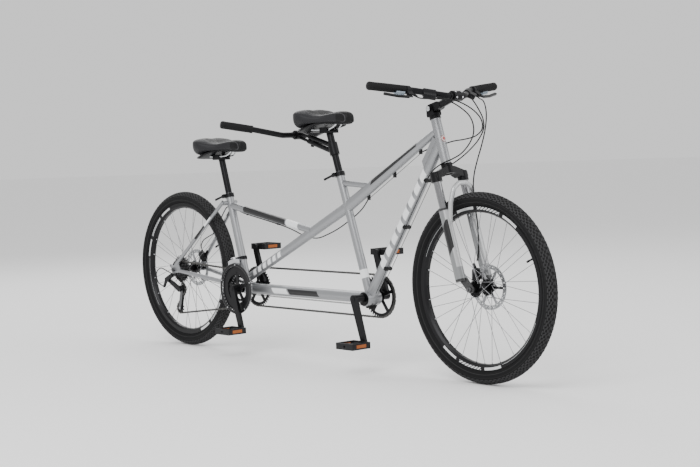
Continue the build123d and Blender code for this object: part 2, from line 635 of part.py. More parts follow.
def tangent(first, second):
    """The belt's straight run from one pulley to the next; a pulley is x, z, radius, turn."""
    x1, z1, r1, s1 = first
    x2, z2, r2, s2 = second
    dx, dz = x2 - x1, z2 - z1
    distance = math.hypot(dx, dz)
    heading = math.atan2(dz, dx)
    swing = math.asin((s1 * r1 - s2 * r2) / distance)
    direction = heading + swing
    normal = (math.sin(direction), -math.cos(direction))
    start = (x1 + s1 * r1 * normal[0], z1 + s1 * r1 * normal[1])
    end = (x2 + s2 * r2 * normal[0], z2 + s2 * r2 * normal[1])
    return start, end


def belt_face(pulleys, shift):
    """The area inside a belt's path, shifted outwards."""
    grown = [(x, z, r + s * shift, s) for x, z, r, s in pulleys]
    count = len(grown)
    runs = [tangent(grown[i], grown[(i + 1) % count]) for i in range(count)]
    edges = []
    for i in range(count):
        edges.append(Line(runs[i][0], runs[i][1]))
        x, z, r, s = grown[(i + 1) % count]
        start, end = runs[i][1], runs[(i + 1) % count][0]
        low = math.atan2(start[1] - z, start[0] - x)
        high = math.atan2(end[1] - z, end[0] - x)
        sweep_angle = (s * (high - low)) % (2 * math.pi)
        middle = low + s * sweep_angle / 2
        point = (x + r * math.cos(middle), z + r * math.sin(middle))
        edges.append(ThreePointArc(start, point, end))
    return make_face(edges)


def chain(pulleys, y):
    """A chain as two side plates along its path, joined by pins on the straight runs."""
    band = belt_face(pulleys, 3.8) - belt_face(pulleys, -3.8)
    plates = [side_plate(band, y + low, y + low + 1.3) for low in (1.7, -3.0)]
    solid = plates[0] + plates[1]
    count = len(pulleys)
    for i in range(count):
        (x1, z1), (x2, z2) = tangent(pulleys[i], pulleys[(i + 1) % count])
        length = math.hypot(x2 - x1, z2 - z1)
        links = int(length / (2 * CHAIN_PITCH))
        for k in range(1, links):
            t = k / links
            if min(t, 1 - t) * length > 32:
                solid += cross_rod(x1 + t * (x2 - x1), z1 + t * (z2 - z1), 2.4, y - 2, y + 2)
    return solid


UPPER_JOCKEY = (REAR_AXLE_X + 30.0, AXLE_Z - 85.0)
LOWER_JOCKEY = (REAR_AXLE_X + 9.0, AXLE_Z - 168.0)
DRIVE_PULLEYS = [
    (STOKER_BRACKET_X, BRACKET_HEIGHT, pitch_radius(RING_TEETH[1]), 1),
    (REAR_AXLE_X, AXLE_Z, pitch_radius(COG_TEETH[DRIVE_COG]), 1),
    (*UPPER_JOCKEY, pitch_radius(JOCKEY_TEETH), -1),
    (*LOWER_JOCKEY, pitch_radius(JOCKEY_TEETH), 1)]
TIMING_PULLEYS = [
    (CAPTAIN_BRACKET_X, BRACKET_HEIGHT, pitch_radius(TIMING_TEETH), 1),
    (STOKER_BRACKET_X, BRACKET_HEIGHT, pitch_radius(TIMING_TEETH), 1)]


def build_chains():
    save("timing_chain", chain(TIMING_PULLEYS, TIMING_PLANE))
    save("drive_chain", chain(DRIVE_PULLEYS, RING_PLANES[1]))


def build_freewheel():
    body = cross_ring(REAR_AXLE_X, AXLE_Z, 22, 17.0, -64, -29)
    for teeth, y in zip(COG_TEETH, COG_PLANES):
        face = toothed(teeth, 21.5)
        body += side_plate(Pos(REAR_AXLE_X, AXLE_Z) * face, y - 1, y + 1)
    save("freewheel", body)


def spider(x, y, thickness, reach, boss):
    """Five arms round a crank's boss."""
    face = Circle(boss + 9)
    for index in range(5):
        face += Rot(0, 0, 72 * index + 18) * (Pos((reach + boss) / 2, 0)
                                               * Rectangle(reach - boss, 13))
    face -= Circle(boss)
    return side_plate(Pos(x, BRACKET_HEIGHT) * face, y - thickness / 2, y + thickness / 2)


def crank_arm(x, side):
    """A crank arm; the right arm hangs down and forwards, the left stands up and back."""
    lean = math.radians(CRANK_LEAN)
    reach = -side
    end = (x + reach * CRANK_LENGTH * math.sin(lean),
           BRACKET_HEIGHT - reach * CRANK_LENGTH * math.cos(lean))
    low, high = sorted((side * (CRANK_PLANE - CRANK_THICKNESS / 2),
                        side * (CRANK_PLANE + CRANK_THICKNESS / 2)))
    arm = lug([(x, BRACKET_HEIGHT, 16), (*end, 12)], low, high)
    inner = sorted((side * 42, side * (CRANK_PLANE - 4)))
    arm += cross_rod(x, BRACKET_HEIGHT, 15, *inner)
    arm -= cross_rod(x, BRACKET_HEIGHT, SPINDLE_RADIUS, -100, 100)
    pedal_pin = cross_rod(*end, 4.5, *sorted((side * (CRANK_PLANE - 7),
                                              side * (CRANK_PLANE + 94))))
    return arm - pedal_pin, pedal_pin, end


def cranks(x):
    """Spindle, both arms and their pedal pins, and the left arm's timing ring."""
    right, right_pin, _ = crank_arm(x, -1)
    left, left_pin, _ = crank_arm(x, 1)
    spindle = cross_rod(x, BRACKET_HEIGHT, SPINDLE_RADIUS, -CRANK_PLANE - 4, CRANK_PLANE + 4)
    arms = spider(x, TIMING_PLANE, 4, 70, 15.05)
    teeth = side_plate(Pos(x, BRACKET_HEIGHT) * toothed(TIMING_TEETH, 66),
                       TIMING_PLANE - 1.1, TIMING_PLANE + 1.1)
    return [right, left, spindle, right_pin, left_pin, arms + teeth]


def build_cranks():
    save("captain_cranks", cranks(CAPTAIN_BRACKET_X))
    save("stoker_cranks", cranks(STOKER_BRACKET_X))


def build_chainrings():
    """Three chainrings and the chain guard on the stoker's right-hand spider."""
    x = STOKER_BRACKET_X
    small, middle, large = RING_PLANES
    place = Pos(x, BRACKET_HEIGHT)
    arms = spider(x, (middle - 1.1 + large + 1.5) / 2, abs(large + 1.5 - middle + 1.1), 70, 15.05)
    rings = [side_plate(place * toothed(RING_TEETH[0], 44), small - 1.1, small + 1.1),
             side_plate(place * toothed(RING_TEETH[1], 60), middle - 1.1, middle + 1.1),
             side_plate(place * toothed(RING_TEETH[2], 60), large - 1.5, large + 1.5),
             side_plate(place * (Circle(105) - Circle(93)), large - 8.5, large - 6.5)]
    posts = []
    for index in range(5):
        angle = 72 * index + 18
        inner = crank_point(x, 49, angle)
        outer = crank_point(x, 65, angle)
        rim_point = crank_point(x, 95.5, angle)
        posts.append(cross_rod(*inner, 3.5, middle - 1.1, small - 1.1))
        posts.append(cross_rod(*outer, 4.0, large - 3.0, large - 1.5))
        posts.append(cross_rod(*rim_point, 2.4, large - 6.5, large - 1.5))
    save("chainrings", arms, rings, posts)


def crank_point(x, radius, angle):
    turn = math.radians(angle)
    return x + radius * math.cos(turn), BRACKET_HEIGHT + radius * math.sin(turn)


def pedal(end, side):
    """A platform pedal: a bored core in a cage, with a reflector front and back."""
    x, z = end
    start = CRANK_PLANE + CRANK_THICKNESS / 2 + PEDAL_GAP
    low, high = sorted((side * start, side * (start + PEDAL_LENGTH)))
    middle = (low + high) / 2
    half_x, half_z = PEDAL_DEPTH / 2, PEDAL_HEIGHT / 2
    core = cross_rod(x, z, 9, low, high)
    cage = block((x - half_x, low, z - half_z), (x + half_x, high, z + half_z))
    cage -= block((x - half_x + 5, low + 7, z - 20), (x + half_x - 5, high - 7, z + 20))
    cage -= block((x - half_x - 1, middle - 24, z - 6.5), (x + half_x + 1, middle + 24, z + 6.5))
    web = block((x - half_x + 4, middle - 6, z - 6), (x + half_x - 4, middle + 6, z + 6))
    body = cage + core + web - cross_rod(x, z, 4.5 + FIT, low - 5, high + 5)
    reflectors = [block((x + s * (half_x - 3) - 2.5, middle - 23.8, z - 6.3),
                        (x + s * (half_x - 3) + 2.5, middle + 23.8, z + 6.3)) - web
                  for s in (-1, 1)]
    return [body] + reflectors


def build_pedals():
    for owner, x in (("captain", CAPTAIN_BRACKET_X), ("stoker", STOKER_BRACKET_X)):
        for name, side in (("right", -1), ("left", 1)):
            save(f"{owner}_{name}_pedal", pedal(crank_arm(x, side)[2], side))


# ---- derailleurs and brakes ---------------------------------------------------------
def build_rear_derailleur():
    y = RING_PLANES[1]
    hanger = (REAR_AXLE_X - 12, AXLE_Z - 26)
    knuckle = (REAR_AXLE_X - 50, AXLE_Z - 46)
    link = lug([(*hanger, 8), (*knuckle, 10)], -84, -74)
    bolt = cross_rod(*hanger, 4, -74, -66.5)
    arm = lug([(*knuckle, 8), (*UPPER_JOCKEY, 11)], -74, -66)
    pivot = cross_rod(*UPPER_JOCKEY, 4, -66, y - 6.2)
    stop = lug([(*knuckle, 7), (REAR_AXLE_X - 68, AXLE_Z - 76, 5)], -84, -77)
    save("rear_derailleur", link + stop + arm + pivot + (bolt - block(
        (hanger[0] - 9, -REAR_HUB_WIDTH / 2 - DROPOUT_THICKNESS, hanger[1] - 9),
        (hanger[0] + 9, -60, hanger[1] + 9))))
    plates = []
    for low in (y - 6.0, y + 4.6):
        plate = lug([(*UPPER_JOCKEY, 9), (*LOWER_JOCKEY, 9)], low, low + 1.4)
        plates.append(plate)
    pins = [cross_rod(*centre, 2.5, y - 5.9, y + 5.9) for centre in (UPPER_JOCKEY, LOWER_JOCKEY)]
    cage = plates[0] + plates[1] + pins[0] + pins[1]
    cage += cross_rod(*UPPER_JOCKEY, 8, y - 12, y - 6) - cross_rod(
        *UPPER_JOCKEY, 4 + FIT, y - 15, y - 6.1)
    save("derailleur_cage", cage)
    for name, centre in (("upper_jockey", UPPER_JOCKEY), ("lower_jockey", LOWER_JOCKEY)):
        face = Pos(*centre) * toothed(JOCKEY_TEETH, 2.5 + FIT)
        save(name, side_plate(face, y - 1.1, y + 1.1) + cross_ring(
            *centre, 6, 2.5 + FIT, y - 4.2, y + 4.2))


def build_front_derailleur():
    """A clamp with two guide pins, and the cage that slides on them."""
    axis = Vector(-math.cos(math.radians(STOKER_SEAT_ANGLE)), 0,
                  math.sin(math.radians(STOKER_SEAT_ANGLE)))
    centre = Vector(*seat_point(STOKER_BRACKET_X, STOKER_SEAT_ANGLE, 392))
    plane = Plane(origin=centre, x_dir=(axis.Z, 0, -axis.X), z_dir=axis)
    ring = Cylinder(19.5, 14) - Cylinder(SEAT_TUBE_RADIUS + 0.02, 20)
    arm = Pos(0, -25, 0) * Box(16, 14, 12) - Cylinder(SEAT_TUBE_RADIUS + 0.02, 20)
    pins = [Pos(s * 5, -44, 0) * Rot(90, 0, 0) * Cylinder(2, 32) for s in (-1, 1)]
    save("front_derailleur", plane * (ring + arm + pins[0] + pins[1]))
    holes = [Pos(s * 5, -44, 0) * Rot(90, 0, 0) * Cylinder(2 + FIT, 60) for s in (-1, 1)]
    carriage = plane * (Pos(0, -49.5, 0) * Box(18, 9, 13))
    radius = pitch_radius(RING_TEETH[2])
    sector = Pos(STOKER_BRACKET_X, BRACKET_HEIGHT) * (Circle(radius + 26) - Circle(radius + 10))
    window = Pos(STOKER_BRACKET_X - 18, BRACKET_HEIGHT + radius + 10) * Rectangle(76, 60)
    sector = sector & window
    inner_sector = Pos(STOKER_BRACKET_X, BRACKET_HEIGHT) * (
        Circle(radius + 26) - Circle(radius - 12))
    inner_sector = inner_sector & window
    plates = side_plate(sector, -59.5, -58) + side_plate(inner_sector, -47, -45.5)
    bridge = side_plate((sector & Pos(STOKER_BRACKET_X - 50, BRACKET_HEIGHT + radius)
                         * Rectangle(10, 60)), -58, -47)
    saddle = side_plate((sector & Pos(STOKER_BRACKET_X - 28, BRACKET_HEIGHT + radius + 20)
                         * Rectangle(16, 14)), -58, -47)
    cage = plates + bridge + saddle + carriage
    save("front_derailleur_cage", cage - plane * holes[0] - plane * holes[1])


def build_rear_caliper():
    """A mechanical disc caliper over the rotor, clamped to the inside of the left seat stay."""
    x, z = REAR_AXLE_X + 48, AXLE_Z + 50
    body = lug([(x - 9, z + 9, 13), (x + 9, z - 9, 13)], REAR_ROTOR_Y - 12, REAR_ROTOR_Y + 6)
    arm = lug([(x - 2, z + 4, 7), (x - 16, z + 25, 4.5)], REAR_ROTOR_Y + 2.2, REAR_ROTOR_Y + 6)
    bracket = lug([(x - 16, z - 14, 7), (x + 22, z + 21, 7)], REAR_ROTOR_Y + 4, REAR_ROTOR_Y + 14)
    slot = cross_rod(REAR_AXLE_X, AXLE_Z, ROTOR_RADIUS + 2.5, REAR_ROTOR_Y - 1.6,
                     REAR_ROTOR_Y + 1.6)
    seat_stay = rod(stay_ends()[0], stay_ends()[1], STAY_RADIUS - 1)
    save("rear_brake_caliper", largest(body + arm + bracket - slot - seat_stay))


def build_front_caliper():
    """A mechanical disc caliper behind the left fork leg."""
    forward, along = -22.0, -486.0
    body = lug([(forward - 4, along - 10, 13), (forward + 4, along + 12, 13)],
               FRONT_ROTOR_Y - 9.5, FRONT_ROTOR_Y + 8, FORK_SIDE)
    slot = cross_rod(FRONT_AXLE_X, AXLE_Z, ROTOR_RADIUS + 2.5, FRONT_ROTOR_Y - 1.6,
                     FRONT_ROTOR_Y + 1.6)
    bracket = lug([(forward - 3, along - 8, 9), (forward - 3, along + 12, 9)],
                  FRONT_ROTOR_Y + 7, FRONT_ROTOR_Y + 30, FORK_SIDE)
    leg = leg_rod(1, LEG_BOTTOM - 10, LEG_TOP, LEG_RADIUS)
    arm = lug([(forward, along + 16, 6), (forward - 4, along + 40, 4.5)],
              FRONT_ROTOR_Y + 2, FRONT_ROTOR_Y + 7, FORK_SIDE)
    foot = lug([(0, LEG_BOTTOM + 14, 15), (FRONT_AXLE_FORWARD, FRONT_AXLE_ALONG, 12.5)],
               50, 60, FORK_SIDE)
    save("front_brake_caliper", (body + bracket + arm) - slot - leg - foot)


# ---- cockpit ------------------------------------------------------------------------
BAR_CENTRE = fork_point(STEM_REACH, 0, STEM_PIVOT_HEIGHT + 5)


def build_stem():
    """The clamp on the steerer, its pivot bolt, and the arm that tilts on it."""
    foot = HEAD_HALF_LENGTH + CUP_HEIGHT + GAP
    base = rod(fork_point(0, 0, foot), fork_point(0, 0, STEM_PIVOT_HEIGHT - 19), 19.5)
    ears = [lug([(-2, STEM_PIVOT_HEIGHT - 20, 17), (0, STEM_PIVOT_HEIGHT, 14)],
                *sorted((s * 15.4, s * 20.5)), FORK_SIDE) for s in (-1, 1)]
    steerer = rod(fork_point(0, 0, 60), fork_point(0, 0, STEM_PIVOT_HEIGHT - 18), STEERER_RADIUS)
    below = rod(fork_point(0, 0, 60), fork_point(0, 0, foot), 40)
    pin = cross_rod(*pivot_xz(), 5, -24, 24)
    heads = [cross_rod(*pivot_xz(), 10.5, *sorted((s * 20.5, s * 25))) for s in (-1, 1)]
    save("stem_base", base + ears[0] + ears[1] - steerer - below - pin, pin + heads[0] + heads[1])
    arm = lug([(0, STEM_PIVOT_HEIGHT, 16.5), (34, STEM_PIVOT_HEIGHT + 1, 14)], -15, 15, FORK_SIDE)
    arm += rod(fork_point(20, 0, STEM_PIVOT_HEIGHT + 1),
               fork_point(STEM_REACH - 8, 0, STEM_PIVOT_HEIGHT + 5), 14)
    arm += cross_rod(BAR_CENTRE[0], BAR_CENTRE[2], 18.5, -22, 22)
    arm -= cross_rod(BAR_CENTRE[0], BAR_CENTRE[2], BAR_CLAMP_RADIUS + 0.02, -40, 40)
    save("stem_arm", arm - cross_rod(*pivot_xz(), 5 + FIT, -40, 40))


def pivot_xz():
    point = fork_point(0, 0, STEM_PIVOT_HEIGHT)
    return point[0], point[2]


def bar_points():
    """The left half of the captain's handlebar, from its middle to its end."""
    x, _, z = BAR_CENTRE
    return [(x, 42, z), (x - 70, 140, z + 22), (x - 109, BAR_HALF_WIDTH, z + 40)]


def captain_bar(radius):
    """The captain's handlebar as one bent tube of a given radius."""
    half = bar_points()
    right = [(px, -py, pz) for px, py, pz in reversed(half)]
    return bent_rod(right + half, [70, 60, 60, 70], radius)


def build_handlebar():
    sleeve = cross_rod(BAR_CENTRE[0], BAR_CENTRE[2], BAR_CLAMP_RADIUS, -34, 34)
    save("handlebar", captain_bar(BAR_RADIUS) + sleeve)
    end, along = bar_end()
    tip = end + along * 3.5
    grip = rod(tuple(end - along * GRIP_LENGTH), tuple(tip), GRIP_RADIUS)
    grip -= rod(tuple(end - along * (GRIP_LENGTH + 5)), tuple(end), BAR_RADIUS + 0.01)
    save("handlebar_grips", both_sides(grip))


def bar_end():
    """The left end of the captain's handlebar and the direction its last run points."""
    start, end = [Vector(*point) for point in bar_points()[1:]]
    return end, (end - start).normalized()


def control_plane(place, along, lean):
    """X ahead and down from the bar, Y inwards along it, for the left-hand controls."""
    ahead = Vector(math.cos(lean), 0, -math.sin(lean))
    ahead = (ahead - along * ahead.dot(along)).normalized()
    return Plane(origin=place, x_dir=ahead, z_dir=ahead.cross(-along))


def build_controls():
    """Clamp, lever bracket and gear shifter for each hand, and the two brake levers."""
    end, along = bar_end()
    plane = control_plane(end - along * (GRIP_LENGTH + 9), along, math.radians(38))
    bar = captain_bar(BAR_RADIUS + 0.02)
    clamp = Rot(90, 0, 0) * Cylinder(15, 14)
    horn = Pos(22, 1, 0) * Box(26, 20, 13)
    slot = Pos(34, 0, 0) * Box(20, 40, 6.6)
    pin = Pos(30, 2, 0) * Cylinder(2.5, 13)
    bracket = plane * (clamp + horn - slot + pin) - bar
    start, bend = [Vector(*point) for point in bar_points()[:2]]
    run = (bend - start).normalized()
    shifter_plane = control_plane(start + run * 66, run, math.radians(30))
    pod = Pos(15, 0, 0) * Box(34, 44, 18)
    pod += Rot(90, 0, 0) * Cylinder(14.5, 44)
    save("hand_controls", both_sides(bracket), both_sides(shifter_plane * pod - bar))
    hub = Pos(30, 2, 0) * (Cylinder(6, 6) - Cylinder(2.5 + FIT, 20))
    blade = hull_blade([(30, 2, 5.5), (43, -14, 5), (46, -54, 4.5), (40, -106, 5)])
    lever = hub + (blade - Pos(30, 2, 0) * Cylinder(5.9, 20))
    left = plane * lever
    save("left_brake_lever", left)
    save("right_brake_lever", left.mirror(Plane.XZ))


def hull_blade(circles):
    """A lever's blade through a row of circles in the X-Y plane."""
    blade = None
    for first, second in zip(circles, circles[1:]):
        piece = extrude(hull_face([first, second]), amount=3, both=True)
        blade = piece if blade is None else blade + piece
    return blade


# ---- seats --------------------------------------------------------------------------
def saddle_pad():
    """A plain closed solid with a saddle's outline and side view; its top is at Z = 0."""
    rear = -110
    nose = rear + SADDLE_LENGTH
    outline = hull_face([(rear + 56, 48, 52), (rear + 56, -48, 52), (rear + 96, 0, 88),
                         (nose - SADDLE_NOSE_RADIUS, 0, SADDLE_NOSE_RADIUS)])
    slab = Pos(0, 0, -SADDLE_THICKNESS) * extrude(outline, amount=SADDLE_THICKNESS)
    side = Polygon((rear - 2, -26), (rear + 14, -6), (rear + 40, 0), (rear + 90, -3),
                   (rear + 150, -12), (nose - 30, -12), (nose - 6, -24),
                   (nose + 2, -40), (nose - 14, -54), (nose - 90, -44),
                   (rear + 110, -50), (rear + 60, -SADDLE_THICKNESS),
                   (rear + 8, -56), align=None)
    return slab & side_plate(side, -120, 120)


def rail_run(height):
    """The two ends of a rail's level run, clear of the post and below the pad."""
    return (-50, 30, height), (50, 21, height)


def saddle_rails():
    """Two rails under a saddle, each held in the pad's base at its front and rear."""
    points = [(-68, 44, -57), *rail_run(-RAIL_DROP), (96, 12, -46)]
    return both_sides(bent_rod(points, [16, 22], 3.5) - saddle_pad())


def seatpost(bracket_x, angle, top, insert):
    """A hollow post, its clamp head round the rails, and the X of the clamp."""
    head_z = top - RAIL_DROP
    low = seat_point(bracket_x, angle, insert)
    high = seat_point(bracket_x, angle, head_z - 8)
    x = high[0] - 2
    post = pipe(low, high, POST_RADIUS, POST_RADIUS - 2.4)
    head = block((x - 20, -31, head_z - 14), (x + 20, 31, head_z + 8))
    head -= block((x - 30, -19, head_z - 6.0), (x + 30, 19, head_z + 9))
    for start, end in [rail_run(0)]:
        for side in (-1, 1):
            head -= rod((x + start[0], side * start[1], head_z),
                        (x + end[0], side * end[1], head_z), 3.52)
    return largest(post - head), head, x


def build_seats():
    for name, bracket_x, angle, top, insert in (
            ("captain", CAPTAIN_BRACKET_X, CAPTAIN_SEAT_ANGLE, CAPTAIN_SADDLE_TOP, 610),
            ("stoker", STOKER_BRACKET_X, STOKER_SEAT_ANGLE, STOKER_SADDLE_TOP, 520)):
        post, head, x = seatpost(bracket_x, angle, top, insert)
        save(f"{name}_seatpost", post, head)
        place = Pos(x, 0, top)
        save(f"{name}_saddle", place * saddle_pad(), [place * r for r in saddle_rails()])


def build_stoker_bars():
    """The stoker's stem on the captain's seatpost, and the bar that slides in it."""
    post = Vector(*seat_point(CAPTAIN_BRACKET_X, CAPTAIN_SEAT_ANGLE, STOKER_STEM_HEIGHT))
    axis = CAPTAIN_AXIS.normalized()
    bar = Vector(STOKER_BAR_X, 0, STOKER_BAR_Z)
    along = (bar - post).normalized()
    lift = Vector(-along.Z, 0, along.X)
    if lift.Z < 0:
        lift = -lift
    collar = rod(tuple(post - axis * 24), tuple(post + axis * 24), 19)
    sleeve_end = bar - along * 62
    for sign in (-1, 1):
        start = post + lift * (sign * 11)
        collar += rod(tuple(start), tuple(sleeve_end + lift * (sign * 9)), 9.5)
    collar += rod(tuple(sleeve_end + along * -26 - lift * 24),
                  tuple(sleeve_end + along * -26 + lift * 9), 7)
    for sign in (-1, 1):
        collar -= rod(tuple(sleeve_end - along * 84 + lift * (sign * 9)),
                      tuple(sleeve_end + along * 10 + lift * (sign * 9)), 6 + FIT)
    collar -= rod(tuple(post - axis * 60), tuple(post + axis * 60), POST_RADIUS + 0.02)
    save("stoker_stem", collar)
    slider = cross_rod(bar.X, bar.Z, 18, -23, 23)
    for sign in (-1, 1):
        slider += rod(tuple(sleeve_end - along * 52 + lift * (sign * 9)),
                      tuple(bar - along * 6 + lift * (sign * 9)), 6)
    slider -= cross_rod(bar.X, bar.Z, BAR_CLAMP_RADIUS + 0.02, -60, 60)
    half = [(bar.X, 44, bar.Z), (bar.X - 3, 84, bar.Z), (bar.X - 47, 190, bar.Z + 25),
            (bar.X - 88, 312, bar.Z + 47)]
    right = [(x, -y, z) for x, y, z in reversed(half)]
    tube = bent_rod(right + half, [80, 50, 30, 30, 50, 80], BAR_RADIUS)
    tube += cross_rod(bar.X, bar.Z, BAR_CLAMP_RADIUS, -34, 34)
    start, end = Vector(*half[2]), Vector(*half[3])
    direction = (end - start).normalized()
    inner = end - direction * 126
    grip = rod(tuple(inner), tuple(end + direction * 3.5), GRIP_RADIUS) - rod(
        tuple(inner - direction * 5), tuple(end), BAR_RADIUS)
    save("stoker_handlebar", slider, tube)
    save("stoker_grips", both_sides(grip))


# ---- cables -------------------------------------------------------------------------
def smooth_radii(points):
    """The largest tangent arc that each corner's two runs allow."""
    radii = []
    for before, here, after in zip(points, points[1:], points[2:]):
        first = Vector(*here) - Vector(*before)
        second = Vector(*after) - Vector(*here)
        turn = math.radians(first.get_angle(second))
        radii.append(0.45 * min(first.length, second.length) / math.tan(turn / 2))
    return radii


def cable(points, radius=CABLE_RADIUS):
    """A cable's housing along its route."""
    radii = smooth_radii(points)
    return bent_rod(points, radii, radius)


RIGHT_SHIFT_CABLE = [(771, -86, 1000.6), (790, -66, 992), (812, -48, 978), (838, -32, 957),
                     (866, -26, 932), (882, -25, 902), (882, -25, 868), (860, -25, 834),
                     (822, -25, 803), (776, -25, 784), (728, -24.5, 770), (690, -24, 752),
                     (662, -20, 733), (640, -14, 714)]
REAR_BRAKE_CABLE = [(727, -155, 1011), (752, -146, 997), (796, -108, 993), (832, -60, 986),
                    (864, -16, 958), (881, 14, 922), (876, 26, 886), (842, 28, 862),
                    (790, 28, 852), (738, 26, 847), (690, 24, 838), (640, 19, 828), (604, 3, 813)]
LEFT_SHIFT_CABLE = [(771, 86, 1000.6), (790, 70, 992), (812, 58, 980), (842, 48, 953),
                    (868, 40, 920), (873, 36, 885), (850, 33, 848), (812, 31, 816),
                    (774, 29, 791), (735, 26, 770), (696, 24, 754), (664, 20, 734),
                    (640, 14, 714)]
FRONT_BRAKE_CABLE = [(727, 155, 1011), (752, 146, 997), (796, 120, 986), (826, 100, 960),
                     (841, 86, 924), (844, 74, 880), (836, 64, 830), (822, 56, 780),
                     (812, 47, 728), (812, 41, 676), (818, 41, 620), (826, 42, 560),
                     (828, 43.5, 504), (824, 44, 452), (817, 43.5, 424)]


def build_steering_cables():
    save("bar_to_frame_cables", cable(RIGHT_SHIFT_CABLE), cable(REAR_BRAKE_CABLE),
         cable(LEFT_SHIFT_CABLE))
    save("front_brake_cable", cable(FRONT_BRAKE_CABLE))


REAR_SHIFT_RUN = [(636, -14, 708.2), (346, -11, 289), (331, -10, 250), (304, -9, 235.5),
                  (262, -9, 241), (-420, -9, 244), (-452, -12, 247), (-502, -32, 272),
                  (-800, -66, 312.5)]
REAR_SHIFT_LOOP = [(-800, -66, 312.5), (-850, -78, 307), (-900, -85, 324), (-960, -87, 343),
                   (-1000, -86, 319), (-992, -84, 275), (-954, -81, 259)]
FRONT_SHIFT_RUN = [(636, 14, 708.2), (346, 11, 289), (331, 10, 250), (304, 9, 235.5),
                   (262, 9, 241), (-420, 9, 244), (-458, 4, 244), (-486, -8, 262),
                   (-488, -18, 330), (-486, -24, 383)]
REAR_BRAKE_WIRE = [(600, 3, 810.7), (305, 3, 640)]
REAR_BRAKE_HOUSING = [(305, 3, 640), (262, 14, 606), (209, 22, 576), (100, 22, 520),
                      (-15, 21, 483), (-90, 20, 490), (-180, 14, 523), (-300, 6, 549),
                      (-480, 8, 581), (-545, 22, 598), (-602, 23, 610), (-650, 36, 579),
                      (-744, 54, 488), (-800, 57, 470), (-838, 58, 454), (-854, 58, 432),
                      (-848, 56.5, 417)]


def build_frame_cables():
    """Bare wires and housings fixed to the frame, with the guides that hold them."""
    down_axis = (Vector(*HEAD_AT_DOWN_TUBE) - Vector(*CAPTAIN_FOOT)).normalized()
    below = Vector(down_axis.Z, 0, -down_axis.X)
    shifting = cable(REAR_SHIFT_RUN, WIRE_RADIUS) + cable(FRONT_SHIFT_RUN, WIRE_RADIUS)
    shifting += cable(REAR_SHIFT_LOOP)
    for distance in (150, 340, 546):
        point = Vector(*CAPTAIN_FOOT) + down_axis * distance + below * 20
        plane = Plane(origin=point, x_dir=down_axis, z_dir=below)
        shifting += plane * Box(10, 34, 12)
    shifting += block((292, -15, 232), (314, 15, 250)) + block((-440, -15, 241), (-424, 15, 252))
    braking = bent_rod(REAR_BRAKE_WIRE, [], WIRE_RADIUS) + cable(REAR_BRAKE_HOUSING)
    for x, z in ((594, 820), (455, 737), (310, 654)):
        braking += block((x - 6, -1, z - 16), (x + 6, 6, z + 4))
    for x, z in ((-240, 545), (-440, 582)):
        braking += block((x - 4, 0, z - 10), (x + 4, 11, z + 4))
    tubes = [oval_tube(CAPTAIN_FOOT, HEAD_AT_DOWN_TUBE, *DOWN_TUBE_ENDS, 0), front_tube(0),
             *shell_cutters(), rod((-600, 0, BRACKET_HEIGHT - BOOM_DROP),
                                   (400, 0, BRACKET_HEIGHT - BOOM_DROP), BOOM_RADIUS),
             rod((-25, 0, 517.6), seat_point(STOKER_BRACKET_X, STOKER_SEAT_ANGLE, 612),
                 TOP_TUBE_RADIUS)]
    for tube in tubes:
        shifting -= tube
        braking -= tube
    save("frame_cables", shifting, braking)


def main():
    os.makedirs("parts", exist_ok=True)
    for step in (build_head_tube, build_top_tubes, build_down_tube, build_seat_tubes,
                 build_boom_tube, build_bearings, build_rear_triangle, build_seat_collars,
                 build_seat_levers, build_frame_cables, build_crown, build_fork_springs, build_lowers, build_front_axle, build_rear_axle,
                 build_front_wheel, build_rear_wheel, build_chains, build_freewheel,
                 build_cranks, build_chainrings, build_pedals, build_rear_derailleur,
                 build_front_derailleur, build_rear_caliper, build_front_caliper, build_stem,
                 build_handlebar, build_controls, build_seats, build_stoker_bars,
                 build_steering_cables):
        step()


main()
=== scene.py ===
"""The looks of a tandem bicycle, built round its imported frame.

Metres, X forwards, Y to the rider's left, Z up, with the origin on the ground
midway between the axles. Each sub-assembly is a class that builds and dresses
its own pieces.
"""
import json
import logging
import math
from dataclasses import dataclass
from enum import Enum, StrEnum
from functools import partial
from typing import Callable, Iterator, Optional, Sequence, TypeVar, Union

import bmesh
import bpy
from mathutils import Matrix, Vector

